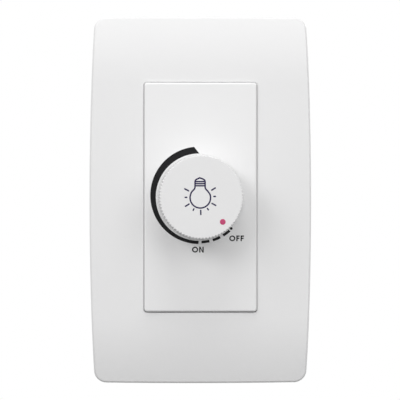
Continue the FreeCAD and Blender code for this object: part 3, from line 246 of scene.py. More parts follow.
def tinned_leads():
    """Turns a part's body into bright tinned wire where a place passes an edge."""
    if "tinned_leads" in bpy.data.node_groups:
        return bpy.data.node_groups["tinned_leads"]
    inputs = [
        ("Tone", "Color", (0.5, 0.5, 0.5, 1.0)),
        ("Roughness", "Float", 0.5),
        ("Wire", "Color", (0.62, 0.61, 0.59, 1.0)),
        ("Smooth", "Float", 0.2),
        ("Rough", "Float", 0.42),
        ("Place", "Float", 0.0),
        ("Edge", "Float", 0.0),
    ]
    outputs = [("Color", "Color"), ("Roughness", "Float"), ("Metallic", "Float")]
    group, given, out = new_group("tinned_leads", inputs, outputs)
    past = add(group, "ShaderNodeMath", operation="GREATER_THAN")
    link(group, (given.outputs["Place"], past.inputs[0]), (given.outputs["Edge"], past.inputs[1]))
    mask = past.outputs[0]
    tone = blend(group, "RGBA", mask, given.outputs["Tone"], given.outputs["Wire"])
    gloss = noise(group, own_place(group), scale=1800.0, detail=2.0)
    wire = blend(group, "FLOAT", gloss, given.outputs["Smooth"], given.outputs["Rough"])
    rough = blend(group, "FLOAT", mask, given.outputs["Roughness"], wire)
    link(group, (tone, out.inputs["Color"]), (rough, out.inputs["Roughness"]))
    link(group, (mask, out.inputs["Metallic"]))
    return group


def rgba(tone):
    return (*tone[:3], 1.0)


def shade(tone, factor):
    return tuple(min(1.0, part * factor) for part in tone[:3])


def shader_of(material):
    return material.node_tree.nodes["Principled BSDF"]


def new_finish(name, group, tone, tint, smooth, rough, scale, bump):
    """A material on one of the shared groups. Its nodes finish and relief can be built on."""
    material = bpy.data.materials.new(name)
    material.use_nodes = True
    material.diffuse_color = rgba(tone)
    tree = material.node_tree
    shader = shader_of(material)
    values = {"Tone": rgba(tone), "Tint": rgba(tint), "Smooth": smooth, "Rough": rough, "Scale": scale}
    finish = add(tree, "ShaderNodeGroup", values, name="finish", node_tree=group)
    relief = add(tree, "ShaderNodeBump", {"Strength": 1.0, "Distance": bump}, name="relief")
    link(
        tree,
        (finish.outputs["Color"], shader.inputs["Base Color"]),
        (finish.outputs["Roughness"], shader.inputs["Roughness"]),
        (finish.outputs["Height"], relief.inputs["Height"]),
        (relief.outputs["Normal"], shader.inputs["Normal"]),
    )
    return material


def plastic(name, tone, smooth, rough, scale=3000.0, bump=0.000004, spread=0.96, coat=0.0):
    """Moulded plastic, lacquer or ink, with darker patches by its spread."""
    material = new_finish(name, moulded_grain(), tone, shade(tone, spread), smooth, rough, scale, bump)
    shader_of(material).inputs["Coat Weight"].default_value = coat
    return material


def metal(name, tone, smooth, rough, scale=9000.0, bump=0.000003, spread=0.82, stretch=LINES_UP):
    """Metal with fine lines, longest along the direction in which its stretch is least."""
    material = new_finish(name, drawn_metal(), tone, shade(tone, spread), smooth, rough, scale, bump)
    material.node_tree.nodes["finish"].inputs["Stretch"].default_value = stretch
    shader_of(material).inputs["Metallic"].default_value = 1.0
    return material


def soften_edges(material, radius):
    """Round the edges of a moulding in its shading."""
    tree = material.node_tree
    round_edge = add(tree, "ShaderNodeBevel", {"Radius": radius}, samples=6)
    link(tree, (round_edge.outputs["Normal"], tree.nodes["relief"].inputs["Normal"]))


def add_turns(material, scale, height):
    """Raised turns of wire, one above the other."""
    tree = material.node_tree
    values = {"Scale": scale, "Distortion": 0.0}
    turns = add(tree, "ShaderNodeTexWave", values, wave_type="BANDS", bands_direction="Z")
    wound = add(tree, "ShaderNodeBump", {"Strength": 1.0, "Distance": height})
    link(
        tree,
        (own_place(tree), turns.inputs["Vector"]),
        (turns.outputs["Fac"], wound.inputs["Height"]),
        (tree.nodes["relief"].outputs["Normal"], wound.inputs["Normal"]),
        (wound.outputs["Normal"], shader_of(material).inputs["Normal"]),
    )


def place_along(tree, direction):
    """A piece's own place along X, Y or Z."""
    parts = add(tree, "ShaderNodeSeparateXYZ")
    link(tree, (own_place(tree), parts.inputs[0]))
    return parts.outputs[direction]


def add_leads(material, place, edge):
    """Show tinned wire where a place, the output of a node, passes an edge."""
    tree = material.node_tree
    shader = shader_of(material)
    finish = tree.nodes["finish"]
    leads = add(tree, "ShaderNodeGroup", name="leads", node_tree=tinned_leads())
    leads.inputs["Edge"].default_value = edge
    link(
        tree,
        (finish.outputs["Color"], leads.inputs["Tone"]),
        (finish.outputs["Roughness"], leads.inputs["Roughness"]),
        (place, leads.inputs["Place"]),
        (leads.outputs["Color"], shader.inputs["Base Color"]),
        (leads.outputs["Roughness"], shader.inputs["Roughness"]),
        (leads.outputs["Metallic"], shader.inputs["Metallic"]),
    )


def add_rod_leads(material, along, middle, half):
    """Tinned wire past both ends of a rod."""
    tree = material.node_tree
    shifted = add(tree, "ShaderNodeMath", {1: middle}, operation="SUBTRACT")
    distance = add(tree, "ShaderNodeMath", operation="ABSOLUTE")
    link(tree, (along, shifted.inputs[0]), (shifted.outputs[0], distance.inputs[0]))
    add_leads(material, distance.outputs[0], half)


def colour_bands(material, along, middle, half, bands, width=0.07, cover=0.85):
    """Painted rings round a rod, as (place from -1 to 1, colour) pairs, under the mottling of its finish."""
    tree = material.node_tree
    finish = tree.nodes["finish"]
    body = finish.inputs["Tone"].default_value[:3]
    stops = [(0.0, body)]
    for place, tone in bands:
        start = (place + 1.0) / 2.0
        stops += [(start, tone), (start + width, body)]
    share = add(tree, "ShaderNodeMapRange", {"From Min": middle - half, "From Max": middle + half})
    ramp = add(tree, "ShaderNodeValToRGB")
    ramp.color_ramp.interpolation = "CONSTANT"
    elements = ramp.color_ramp.elements
    elements.remove(elements[1])
    for i, (place, tone) in enumerate(stops):
        stop = elements.new(place) if i else elements[0]
        stop.position = place
        stop.color = rgba(tone)
    mottle = add(tree, "ShaderNodeMix", {"Factor": cover}, data_type="RGBA")
    link(
        tree,
        (along, share.inputs["Value"]),
        (share.outputs["Result"], ramp.inputs["Fac"]),
        (finish.outputs["Color"], mottle.inputs["A"]),
        (ramp.outputs["Color"], mottle.inputs["B"]),
        (mottle.outputs["Result"], tree.nodes["leads"].inputs["Tone"]),
    )


def dress(material, *names):
    for name in names:
        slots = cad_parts[name].data.materials
        slots.clear()
        slots.append(material)


def mesh_object(name, bm, material):
    """An object in the scene from a finished bmesh, with one material."""
    mesh = bpy.data.meshes.new(name)
    bm.to_mesh(mesh)
    bm.free()
    mesh.materials.append(material)
    piece = bpy.data.objects.new(name, mesh)
    bpy.context.scene.collection.objects.link(piece)
    return piece


def new_piece(name, bm, material, body):
    """A finished piece of the print: outward faces, one material, riding on a body if it has one yet."""
    bmesh.ops.remove_doubles(bm, verts=bm.verts, dist=1e-8)
    bmesh.ops.recalc_face_normals(bm, faces=bm.faces)
    piece = mesh_object(name, bm, material)
    if body:
        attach(piece, body)
    return piece


def slab(bm, ring, surface, height):
    """A flat print from an outline of (x, z) points, sunk a little into its surface."""
    front = [bm.verts.new((x, surface - height, z)) for x, z in ring]
    back = [bm.verts.new((x, surface + height, z)) for x, z in ring]
    bm.faces.new(front)
    bm.faces.new(back[::-1])
    for i in range(len(ring)):
        j = (i + 1) % len(ring)
        bm.faces.new((front[i], back[i], back[j], front[j]))


def band(bm, left, right, surface, height, closed=False):
    """A flat print between two lines of (x, z) points."""
    rows = []
    for (ax, az), (bx, bz) in zip(left, right):
        corners = ((ax, -height, az), (bx, -height, bz), (bx, height, bz), (ax, height, az))
        rows.append([bm.verts.new((x, surface + y, z)) for x, y, z in corners])
    count = len(rows)
    for i in range(count if closed else count - 1):
        here, there = rows[i], rows[(i + 1) % count]
        for k in range(4):
            bm.faces.new((here[k], there[k], there[(k + 1) % 4], here[(k + 1) % 4]))
    if not closed:
        bm.faces.new(rows[0])
        bm.faces.new(rows[-1][::-1])


# Steps round the end of a drawn line, from its tip, and the limit that keeps sharp bends short.
CAP_TURNS = [math.radians(turn) for turn in (12, 32, 52, 72)]
BEND_LIMIT = 0.5


def line_cap(end, direction, half_width):
    """Points past the end of a drawn line and their half widths, from the tip."""
    points = [end + direction * (math.cos(turn) * half_width) for turn in CAP_TURNS]
    return points, [math.sin(turn) * half_width for turn in CAP_TURNS]


def ribbon(bm, path, width, surface, height, closed=False, rounded=True):
    """A drawn line of one width along (x, z) points, with round or square ends."""
    points = [Vector(point) for point in path]
    halves = [width / 2] * len(points)
    if rounded and not closed:
        start, start_halves = line_cap(points[0], (points[0] - points[1]).normalized(), width / 2)
        end, end_halves = line_cap(points[-1], (points[-1] - points[-2]).normalized(), width / 2)
        points = start + points + end[::-1]
        halves = start_halves + halves + end_halves[::-1]
    count = len(points)
    left, right = [], []
    for i in range(count):
        before = points[i - 1] if closed or i else points[i]
        after = points[(i + 1) % count] if closed or i < count - 1 else points[i]
        run_in = (points[i] - before).normalized() if before != points[i] else None
        run_out = (after - points[i]).normalized() if after != points[i] else None
        along = ((run_in or run_out) + (run_out or run_in)).normalized()
        widen = 1.0 if not (run_in and run_out) else 1.0 / max(BEND_LIMIT, along.dot(run_out))
        across = Vector((-along.y, along.x)) * halves[i] * widen
        left.append(points[i] + across)
        right.append(points[i] - across)
    band(bm, left, right, surface, height, closed)


def on_circle(centre, radius, clockwise):
    return (centre[0] + radius * math.sin(clockwise), centre[1] + radius * math.cos(clockwise))


def arc(centre, radius, start, end, count):
    return [on_circle(centre, radius, start + (end - start) * i / (count - 1)) for i in range(count)]


def circle(centre, radius, count):
    """Points once round, anticlockwise and with the last at the top."""
    return arc(centre, radius, math.tau * (count - 1) / count, 0.0, count)


def ring_tree():
    """Geometry nodes that repeat one mark round a point, seen from the front."""
    if "marks_in_a_ring" in bpy.data.node_groups:
        return bpy.data.node_groups["marks_in_a_ring"]
    tree = bpy.data.node_groups.new("marks_in_a_ring", "GeometryNodeTree")
    inputs = {
        "Mark": "Geometry",
        "Count": "Int",
        "First": "Float",
        "Step": "Float",
        "Centre": "Vector",
        "Material": "Material",
    }
    for label, kind in inputs.items():
        tree.interface.new_socket(label, in_out="INPUT", socket_type=f"NodeSocket{kind}")
    tree.interface.new_socket("Marks", in_out="OUTPUT", socket_type="NodeSocketGeometry")
    given = tree.nodes.new("NodeGroupInput")
    out = tree.nodes.new("NodeGroupOutput")
    whole = tree.nodes.new("GeometryNodeGeometryToInstance")
    copies = add(tree, "GeometryNodeDuplicateElements", domain="INSTANCE")
    turned = add(tree, "ShaderNodeMath", operation="MULTIPLY_ADD")
    euler = tree.nodes.new("ShaderNodeCombineXYZ")
    rotate = add(tree, "GeometryNodeRotateInstances", {"Local Space": False})
    real = tree.nodes.new("GeometryNodeRealizeInstances")
    paint = tree.nodes.new("GeometryNodeSetMaterial")
    link(
        tree,
        (given.outputs["Mark"], whole.inputs[0]),
        (whole.outputs[0], copies.inputs["Geometry"]),
        (given.outputs["Count"], copies.inputs["Amount"]),
        (copies.outputs["Duplicate Index"], turned.inputs[0]),
        (given.outputs["Step"], turned.inputs[1]),
        (given.outputs["First"], turned.inputs[2]),
        (turned.outputs[0], euler.inputs["Y"]),
        (copies.outputs["Geometry"], rotate.inputs["Instances"]),
        (euler.outputs[0], rotate.inputs["Rotation"]),
        (given.outputs["Centre"], rotate.inputs["Pivot Point"]),
        (rotate.outputs[0], real.inputs[0]),
        (real.outputs[0], paint.inputs["Geometry"]),
        (given.outputs["Material"], paint.inputs["Material"]),
        (paint.outputs[0], out.inputs["Marks"]),
    )
    return tree


def repeat_mark(piece, body, centre, count, first, step):
    """Repeat a piece's mark round a centre, leave it as a plain mesh and let it ride on its body."""
    tree = ring_tree()
    modifier = piece.modifiers.new("marks", "NODES")
    modifier.node_group = tree
    values = {
        "Count": count,
        "First": first,
        "Step": step,
        "Centre": (centre[0], 0.0, centre[1]),
        "Material": piece.data.materials[0],
    }
    for item in tree.interface.items_tree:
        if item.in_out == "INPUT" and item.name in values:
            modifier[item.identifier] = values[item.name]
    depsgraph = bpy.context.evaluated_depsgraph_get()
    mesh = bpy.data.meshes.new_from_object(piece.evaluated_get(depsgraph), depsgraph=depsgraph)
    piece.modifiers.remove(modifier)
    piece.data = mesh
    if len(mesh.polygons) == 0:
        raise RuntimeError(f"{piece.name} has no marks")
    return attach(piece, body)


def ink(name, tone):
    """Flat printed ink."""
    if name in bpy.data.materials:
        return bpy.data.materials[name]
    material = plastic(name, tone, smooth=0.38, rough=0.52, scale=9000.0, bump=0.0000015, spread=0.8)
    shader_of(material).inputs["Specular IOR Level"].default_value = 0.15
    return material


class DIMMER_OT_white_mouldings(Operator):
    """Give the plate, the insert and the knob their white moulded plastic"""

    bl_idname = "dimmer.white_mouldings"
    bl_label = "White mouldings"

    def execute(self, context):
        look = context.scene.dimmer_plastic
        mouldings = (("cover_plate", 1.01, 0.0), ("face_insert", 1.045, -0.02), ("knob", 1.0, 0.02))
        for name, tone, duller in mouldings:
            roughness = look.roughness + duller
            material = plastic(
                f"white_{name}",
                shade(look.white, tone),
                smooth=roughness - 0.05,
                rough=roughness + 0.06,
                scale=1.0 / look.grain_size,
                bump=look.grain_height,
                spread=0.985,
            )
            # Soft edges would blur the knob's fine ribs.
            if name != "knob":
                soften_edges(material, look.edge_radius)
            dress(material, name)
        return {"FINISHED"}


class DIMMER_OT_grey_mouldings(Operator):
    """Give the mounting frame and the rear housing their grey plastic"""

    bl_idname = "dimmer.grey_mouldings"
    bl_label = "Grey mouldings"

    def execute(self, context):
        look = context.scene.dimmer_plastic
        for name, tone in (("mounting_frame", 1.12), ("rear_housing", 0.94)):
            material = plastic(
                f"grey_{name}",
                shade(look.grey, tone),
                smooth=0.44,
                rough=0.62,
                scale=0.7 / look.grain_size,
                bump=look.grain_height * 1.8,
                spread=0.92,
            )
            soften_edges(material, look.edge_radius * 0.7)
            dress(material, name)
        return {"FINISHED"}


class DIMMER_OT_fasteners(Operator):
    """Give screws, nuts, clamps and springs their metals"""

    bl_idname = "dimmer.fasteners"
    bl_label = "Fasteners and springs"

    def execute(self, context):
        zinc = metal("zinc_steel", (0.56, 0.56, 0.55), smooth=0.24, rough=0.46, stretch=LINES_INWARD)
        dress(zinc, "housing_screws")
        bright = metal("bright_steel", (0.6, 0.6, 0.6), smooth=0.2, rough=0.42, stretch=LINES_INWARD)
        dress(bright, "terminal_screws", "triac_screw")
        dress(metal("steel_nut", (0.53, 0.53, 0.53), smooth=0.28, rough=0.5), "triac_nut")
        dress(metal("clamp_brass", (0.7, 0.53, 0.25), smooth=0.24, rough=0.45), "terminal_clamps")
        spring = metal("spring_steel", (0.45, 0.45, 0.47), smooth=0.22, rough=0.4)
        dress(spring, "knob_spring", "retaining_clip")
        dress(metal("spring_bronze", (0.66, 0.44, 0.22), smooth=0.22, rough=0.42), "pot_wiper")
        return {"FINISHED"}


class DIMMER_OT_potentiometer(Operator):
    """Give the potentiometer, its shaft and the snap switch their finishes"""

    bl_idname = "dimmer.potentiometer"
    bl_label = "Potentiometer and switch"

    def execute(self, context):
        tin = metal("tin_plate", (0.62, 0.62, 0.61), smooth=0.2, rough=0.42)
        dress(tin, "pot_can", "pot_washer", "pot_nut")
        cast = metal("die_cast", (0.58, 0.57, 0.55), smooth=0.32, rough=0.55, scale=5000.0)
        dress(cast, "pot_bushing")
        bar = metal("shaft_aluminium", (0.66, 0.66, 0.67), smooth=0.24, rough=0.42, stretch=(1.0, 0.05, 1.0))
        dress(bar, "pot_shaft")
        dress(metal("tinned_lugs", (0.63, 0.62, 0.6), smooth=0.2, rough=0.4), "pot_lugs", "switch_pins")
        brown = (0.2, 0.1, 0.045)
        phenolic = plastic("phenolic_brown", brown, smooth=0.42, rough=0.58, scale=5200.0, spread=0.7)
        dress(phenolic, "pot_wafer", "pot_rotor")
        black = plastic("switch_black", (0.028, 0.028, 0.03), smooth=0.4, rough=0.56, spread=0.8)
        dress(black, "snap_switch")
        return {"FINISHED"}


class DIMMER_OT_power_parts(Operator):
    """Give the heat sink, the triac and the choke their finishes"""

    bl_idname = "dimmer.power_parts"
    bl_label = "Power parts"

    def execute(self, context):
        sheet = metal("sink_aluminium", (0.7, 0.7, 0.71), smooth=0.3, rough=0.52, scale=6000.0)
        dress(sheet, "heat_sink")
        black = (0.022, 0.022, 0.024)
        epoxy = plastic("triac_epoxy", black, smooth=0.46, rough=0.62, scale=7000.0, spread=0.75)
        dress(epoxy, "triac_body")
        dress(metal("tinned_tab", (0.64, 0.62, 0.58), smooth=0.22, rough=0.44), "triac_tab")
        charcoal = (0.05, 0.05, 0.053)
        core = plastic("ferrite", charcoal, smooth=0.5, rough=0.7, scale=8000.0, bump=0.00001, spread=0.7)
        dress(core, "choke_core")
        copper = metal("copper_wire", (0.68, 0.3, 0.13), smooth=0.2, rough=0.36)
        add_turns(copper, scale=320.0, height=0.0002)
        dress(copper, "choke_winding")
        return {"FINISHED"}


class DIMMER_OT_board_parts(Operator):
    """Give the circuit board, the terminal block and the small parts their finishes"""

    bl_idname = "dimmer.board_parts"
    bl_label = "Board and small parts"

    def execute(self, context):
        laminate = plastic(
            "board_laminate",
            (0.42, 0.3, 0.13),
            smooth=0.4,
            rough=0.56,
            scale=4200.0,
            bump=0.000006,
            spread=0.86,
        )
        dress(laminate, "circuit_board")
        green = plastic("terminal_green", (0.05, 0.27, 0.12), smooth=0.4, rough=0.54, spread=0.86)
        dress(green, "terminal_block")

        boxes = (
            ("capacitor_yellow", (0.72, 0.46, 0.05), "suppression_capacitor"),
            ("capacitor_red", (0.42, 0.075, 0.03), "timing_capacitor"),
        )
        for name, tone, node in boxes:
            material = plastic(name, tone, smooth=0.3, rough=0.44, spread=0.9, coat=0.15)
            add_leads(material, place_along(material.node_tree, "Y"), BOARD_FRONT)
            dress(material, node)

        brown = (0.13, 0.05, 0.02)
        orange = (0.7, 0.2, 0.02)
        black = (0.015, 0.015, 0.015)
        gold = (0.5, 0.36, 0.12)
        resistor_rings = [(-0.72, brown), (-0.44, black), (-0.16, orange), (0.56, gold)]
        rods = (
            ("resistor_tan", (0.62, 0.44, 0.27), "resistors", 0.00315, resistor_rings),
            ("diac_blue", (0.07, 0.16, 0.42), "diac", 0.002, [(0.5, black)]),
        )
        for name, tone, node, half, rings in rods:
            low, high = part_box(node)
            middle = (low.z + high.z) / 2
            material = plastic(name, tone, smooth=0.32, rough=0.46, spread=0.9, coat=0.1)
            along = place_along(material.node_tree, "Z")
            add_rod_leads(material, along, middle, half)
            colour_bands(material, along, middle, half, rings)
            dress(material, node)
        return {"FINISHED"}


class DIMMER_OT_scale(Operator):
    """Print the wedge, the dashes and the dot of the scale on the insert"""

    bl_idname = "dimmer.scale"
    bl_label = "Printed scale"

    def execute(self, context):
        art = context.scene.dimmer_print
        paint = ink("scale_ink", art.ink)
        centre = Vector(art.centre)
        wedge_steps, dash_steps, dot_sides = 120, 9, 32

        outside = centre + Vector(art.wedge_shift)
        inside = centre - Vector((0.0, art.wedge_drop))
        outer_end = art.wedge_thick - art.wedge_slant
        inner = arc(inside, art.wedge_inside, art.wedge_thin, art.wedge_thick, wedge_steps)
        outer = arc(outside, art.wedge_radius, art.wedge_thin, outer_end, wedge_steps)
        bm = bmesh.new()
        band(bm, outer, inner, INSERT_FRONT, art.height)
        new_piece("scale_wedge", bm, paint, "dimmer")

        half = art.dash_span / 2
        dash = arc(centre, art.dash_inside + art.dash_width / 2, -half, half, dash_steps)
        bm = bmesh.new()
        ribbon(bm, dash, art.dash_width, INSERT_FRONT, art.height, rounded=False)
        dashes = new_piece("scale_dashes", bm, paint, None)
        repeat_mark(dashes, "dimmer", centre, art.dash_count, art.dash_first, art.dash_step)

        dot = on_circle(centre, art.dot_reach, art.dot_place)
        bm = bmesh.new()
        slab(bm, circle(dot, art.dot_radius, dot_sides), INSERT_FRONT, art.height)
        new_piece("scale_dot", bm, paint, "dimmer")
        return {"FINISHED"}


def letter_o(bm, left, low, width, height, stroke, surface, sunk):
    sides = 48
    middle = (left + width / 2, low + height / 2)
    rims = []
    for shrink in (0.0, stroke):
        rim = []
        for i in range(sides):
            turn = math.tau * i / sides
            across = (width / 2 - shrink) * math.cos(turn)
            rim.append((middle[0] + across, middle[1] + (height / 2 - shrink) * math.sin(turn)))
        rims.append(rim)
    band(bm, rims[1], rims[0], surface, sunk, closed=True)


def letter_n(bm, left, low, width, height, stroke, surface, sunk):
    slant = stroke * 1.45
    shape = [
        (0, 0),
        (stroke, 0),
        (stroke, height - slant),
        (width - stroke, 0),
        (width, 0),
        (width, height),
        (width - stroke, height),
        (width - stroke, slant),
        (stroke, height),
        (0, height),
    ]
    slab(bm, [(left + x, low + z) for x, z in shape], surface, sunk)


def letter_f(bm, left, low, width, height, stroke, surface, sunk):
    arm = height * 0.5 - stroke / 2
    arm_end = width * 0.88
    shape = [
        (0, 0),
        (stroke, 0),
        (stroke, arm),
        (arm_end, arm),
        (arm_end, arm + stroke),
        (stroke, arm + stroke),
        (stroke, height - stroke),
        (width, height - stroke),
        (width, height),
        (0, height),
    ]
    slab(bm, [(left + x, low + z) for x, z in shape], surface, sunk)


class Word(NamedTuple):
    """A printed word in millimetres: its middle from that of the scale, and its letters and their widths."""

    name: str
    place: tuple
    height: float
    space: float
    letters: tuple


WORDS = (
    Word(
        "word_on",
        place=(-0.52, -16.67),
        height=1.84,
        space=0.33,
        letters=((letter_o, 1.94), (letter_n, 1.44)),
    ),
    Word(
        "word_off",
        place=(11.78, -13.09),
        height=1.8,
        space=0.31,
        letters=((letter_o, 1.92), (letter_f, 1.06), (letter_f, 1.06)),
    ),
)


class DIMMER_OT_words(Operator):
    """Print the two words at the ends of the dashes"""

    bl_idname = "dimmer.words"
    bl_label = "Printed words"

    def execute(self, context):
        art = context.scene.dimmer_print
        paint = ink("scale_ink", art.ink)
        for word in WORDS:
            whole = sum(width for _, width in word.letters) + word.space * (len(word.letters) - 1)
            left = art.centre[0] + (word.place[0] - whole / 2) * MM
            low = art.centre[1] + (word.place[1] - word.height / 2) * MM
            tall = word.height * MM
            bm = bmesh.new()
            for letter, width in word.letters:
                letter(bm, left, low, width * MM, tall, art.letter_stroke, INSERT_FRONT, art.height)
                left += (width + word.space) * MM
            new_piece(word.name, bm, paint, "dimmer")
        return {"FINISHED"}


class DIMMER_OT_bulb_sign(Operator):
    """Print the bulb with its rays on the knob"""

    bl_idname = "dimmer.bulb_sign"
    bl_label = "Bulb sign"

    def execute(self, context):
        art = context.scene.dimmer_print
        paint = ink("sign_ink", art.sign_ink)

        # The glass is open at the top, where the neck leads up to the cap with its tip and thread.
        globe_centre = (-0.00032, -0.00021)
        globe_radius = 0.00317
        globe_steps = 44
        opening = math.radians(71)
        cap_x = -0.0004
        neck = [(2.72, 1.4), (2.36, 1.88), (2.0, 2.22), (1.7, 2.58), (1.57, 2.98)]
        cap = [(1.56, 3.6), (1.56, 4.35), (1.55, 4.88), (1.42, 5.26), (1.06, 5.52), (0.5, 5.76)]
        tip = (cap_x - 0.00017, 0.00596)
        threads = ((4.8, 1.32), (4.16, 1.34), (3.5, 1.34))
        thread_stroke = art.sign_stroke * 0.95

        glass = arc(globe_centre, globe_radius, opening, math.tau - opening, globe_steps)
        half = [(x * MM, z * MM) for x, z in neck + cap]
        left = [(cap_x - x, z) for x, z in half]
        right = [(cap_x + x, z) for x, z in reversed(half)]
        bm = bmesh.new()
        ribbon(bm, glass + left + [tip] + right, art.sign_stroke, KNOB_FRONT, art.height, closed=True)
        for level, reach in threads:
            line = [(cap_x - reach * MM, level * MM), (cap_x + reach * MM, level * MM)]
            ribbon(bm, line, thread_stroke, KNOB_FRONT, art.height, rounded=False)
        new_piece("bulb_outline", bm, paint, "knob_and_shaft")

        # Count, first angle and step in degrees, near and far end in millimetres.
        ray_centre = (-0.00032, 0.00003)
        rays = (
            ("bulb_rays_long", 5, 58.9, 59.7, 4.12, 5.42),
            ("bulb_rays_short", 4, 87.7, 60.3, 4.2, 4.66),
        )
        for name, count, first, step, near, far in rays:
            line = [(ray_centre[0], ray_centre[1] + reach * MM) for reach in (near, far)]
            bm = bmesh.new()
            ribbon(bm, line, art.ray_stroke, KNOB_FRONT, art.height)
            ray = new_piece(name, bm, paint, None)
            repeat_mark(ray, "knob_and_shaft", ray_centre, count, math.radians(first), math.radians(step))
        return {"FINISHED"}


class DIMMER_OT_pointer(Operator):
    """Paint the pointer dot on the knob"""

    bl_idname = "dimmer.pointer"
    bl_label = "Pointer dot"

    def execute(self, context):
        art = context.scene.dimmer_print
        paint = plastic(
            "pointer_red", art.pointer, smooth=0.3, rough=0.42, scale=6000.0, bump=0.000002, spread=0.88
        )
        centre = on_circle((0.0, 0.0), art.pointer_reach, art.pointer_place)
        sides = 36
        # Shares of the radius, and levels in thicknesses of ink behind the knob's face.
        profile = [(1.0, 1.0), (1.0, -0.6), (0.96, -1.4), (0.86, -2.0), (0.6, -2.6), (0.3, -2.9)]
        bm = bmesh.new()
        rings = []
        for share, level in profile:
            y = KNOB_FRONT + level * art.height
            ring = circle(centre, art.pointer_radius * share, sides)
            rings.append([bm.verts.new((x, y, z)) for x, z in ring])
        for near, far in zip(rings, rings[1:]):
            for i in range(sides):
                j = (i + 1) % sides
                bm.faces.new((near[i], near[j], far[j], far[i]))
        bm.faces.new(rings[0])
        bm.faces.new(rings[-1])
        piece = new_piece("pointer_dot", bm, paint, "knob_and_shaft")
        piece.data.shade_smooth()
        return {"FINISHED"}


def seen_rays(tree):
    """1 for rays from the camera and from mirrors and glass, and 0 for rays that light the switch."""
    rays = tree.nodes.new("ShaderNodeLightPath")
    mirrored = add(tree, "ShaderNodeMath", operation="MAXIMUM")
    seen = add(tree, "ShaderNodeMath", operation="MAXIMUM")
    link(
        tree,
        (rays.outputs["Is Glossy Ray"], mirrored.inputs[0]),
        (rays.outputs["Is Transmission Ray"], mirrored.inputs[1]),
        (rays.outputs["Is Camera Ray"], seen.inputs[0]),
        (mirrored.outputs[0], seen.inputs[1]),
    )
    return seen.outputs[0]


def floor_finish(stage):
    """A pale floor that throws little light back, and that isn't there when it is seen from below."""
    material = plastic(
        "floor", stage.floor_bounce, smooth=0.6, rough=0.75, scale=900.0, bump=0.00002, spread=0.98
    )
    tree = material.node_tree
    pale = add(tree, "ShaderNodeBsdfDiffuse", {"Color": rgba(stage.floor_tone)})
    choose = tree.nodes.new("ShaderNodeMixShader")
    clear = tree.nodes.new("ShaderNodeBsdfTransparent")
    side = tree.nodes.new("ShaderNodeNewGeometry")
    below = tree.nodes.new("ShaderNodeMixShader")
    link(
        tree,
        (seen_rays(tree), choose.inputs[0]),
        (shader_of(material).outputs[0], choose.inputs[1]),
        (pale.outputs[0], choose.inputs[2]),
        (side.outputs["Backfacing"], below.inputs[0]),
        (choose.outputs[0], below.inputs[1]),
        (clear.outputs[0], below.inputs[2]),
        (below.outputs[0], tree.nodes["Material Output"].inputs["Surface"]),
    )
    return material


def add_floor(stage):
    bm = bmesh.new()
    bmesh.ops.create_grid(bm, x_segments=8, y_segments=8, size=stage.floor_half)
    bmesh.ops.translate(bm, verts=bm.verts, vec=(0.0, 0.0, -stage.floor_drop))
    floor = mesh_object("floor", bm, floor_finish(stage))


def add_surround(scene, stage):
    """A world that looks white and gives an even light."""
    world = bpy.data.worlds.new("surround")
    world.use_nodes = True
    scene.world = world
    tree = world.node_tree
    tree.nodes.clear()
    white = (1.0, 1.0, 1.0, 1.0)
    light = add(tree, "ShaderNodeBackground", {"Color": white, "Strength": stage.ambient})
    backdrop = add(tree, "ShaderNodeBackground", {"Color": white, "Strength": 1.0})
    choose = tree.nodes.new("ShaderNodeMixShader")
    out = tree.nodes.new("ShaderNodeOutputWorld")
    link(
        tree,
        (seen_rays(tree), choose.inputs[0]),
        (light.outputs[0], choose.inputs[1]),
        (backdrop.outputs[0], choose.inputs[2]),
        (choose.outputs[0], out.inputs["Surface"]),
    )


def add_lamp(name, towards, reach, size, energy, tone):
    """A square lamp that looks at the middle of the switch."""
    data = bpy.data.lights.new(name, "AREA")
    data.energy = energy
    data.size = size
    data.color = tone
    lamp = bpy.data.objects.new(name, data)
    direction = Vector(towards).normalized()
    lamp.location = direction * reach
    lamp.rotation_euler = direction.to_track_quat("Z", "Y").to_euler()
    bpy.context.scene.collection.objects.link(lamp)


def add_lamps(stage):
    """Each lamp by its direction from the switch, its size and its tone."""
    lamps = (
        ("side_lamp", (-0.66, -0.566, 0.49), 0.3, (1.0, 0.99, 1.0)),
        ("main_lamp", (-0.45, -0.8, 0.4), 0.3, (1.0, 0.995, 1.0)),
        ("top_lamp", (0.0, -0.32, 0.945), 0.35, (1.0, 1.0, 0.99)),
        ("fill_lamp", (0.45, -0.8, 0.4), 0.5, (1.0, 1.0, 1.0)),
        ("back_lamp", (0.55, 0.75, 0.1), 0.5, (1.0, 1.0, 1.0)),
    )
    for name, towards, size, tone in lamps:
        add_lamp(name, towards, stage.lamp_reach, size, getattr(stage, name), tone)


def add_camera(scene, stage):
    """The camera in front of the plate, level with its middle and a little to the left."""
    low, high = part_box("cover_plate")
    middle = Vector((0.0, 0.0, (low.z + high.z) / 2))
    data = bpy.data.cameras.new("photo_camera")
    data.lens = stage.lens
    data.sensor_width = 36.0
    data.clip_start = 0.01
    camera = bpy.data.objects.new("photo_camera", data)
    camera.location = middle + Vector((-stage.camera_side, -stage.distance, 0.0))
    camera.rotation_euler = (middle - camera.location).to_track_quat("-Z", "Y").to_euler()
    scene.collection.objects.link(camera)
    scene.camera = camera


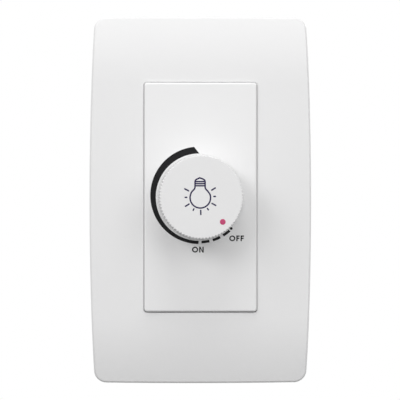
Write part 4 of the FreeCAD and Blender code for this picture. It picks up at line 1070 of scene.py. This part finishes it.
class DIMMER_OT_stage(Operator):
    """Set up the floor, the white surround, the lamps and the camera"""

    bl_idname = "dimmer.stage"
    bl_label = "Stage"

    def execute(self, context):
        scene = context.scene
        stage = scene.dimmer_stage
        scene.view_settings.view_transform = "Standard"
        add_floor(stage)
        add_surround(scene, stage)
        add_lamps(stage)
        add_camera(scene, stage)
        return {"FINISHED"}


OPERATORS = (
    DIMMER_OT_white_mouldings,
    DIMMER_OT_grey_mouldings,
    DIMMER_OT_fasteners,
    DIMMER_OT_potentiometer,
    DIMMER_OT_power_parts,
    DIMMER_OT_board_parts,
    DIMMER_OT_scale,
    DIMMER_OT_words,
    DIMMER_OT_bulb_sign,
    DIMMER_OT_pointer,
    DIMMER_OT_stage,
)
SETTINGS = {
    "dimmer_plastic": DimmerPlastic,
    "dimmer_print": DimmerPrint,
    "dimmer_stage": DimmerStage,
}


class DIMMER_PT_panel(Panel):
    """Lists the settings and the pieces"""

    bl_idname = "DIMMER_PT_panel"
    bl_label = "Rotary dimmer"
    bl_space_type = "VIEW_3D"
    bl_region_type = "UI"
    bl_category = "Dimmer"

    def draw(self, context):
        for attribute, group in SETTINGS.items():
            box = self.layout.box()
            for name in group.__annotations__:
                box.prop(getattr(context.scene, attribute), name)
        for operator in OPERATORS:
            self.layout.operator(operator.bl_idname)


def register():
    for group in SETTINGS.values():
        bpy.utils.register_class(group)
    for attribute, group in SETTINGS.items():
        setattr(bpy.types.Scene, attribute, PointerProperty(type=group))
    for operator in OPERATORS:
        bpy.utils.register_class(operator)
    bpy.utils.register_class(DIMMER_PT_panel)


def unregister():
    bpy.utils.unregister_class(DIMMER_PT_panel)
    for operator in reversed(OPERATORS):
        bpy.utils.unregister_class(operator)
    for attribute, group in SETTINGS.items():
        delattr(bpy.types.Scene, attribute)
        bpy.utils.unregister_class(group)


def main():
    register()
    bpy.ops.dimmer.white_mouldings()
    bpy.ops.dimmer.grey_mouldings()
    bpy.ops.dimmer.fasteners()
    bpy.ops.dimmer.potentiometer()
    bpy.ops.dimmer.power_parts()
    bpy.ops.dimmer.board_parts()
    bpy.ops.dimmer.scale()
    bpy.ops.dimmer.words()
    bpy.ops.dimmer.bulb_sign()
    bpy.ops.dimmer.pointer()
    bpy.ops.dimmer.stage()


if __name__ == "__main__":
    main()
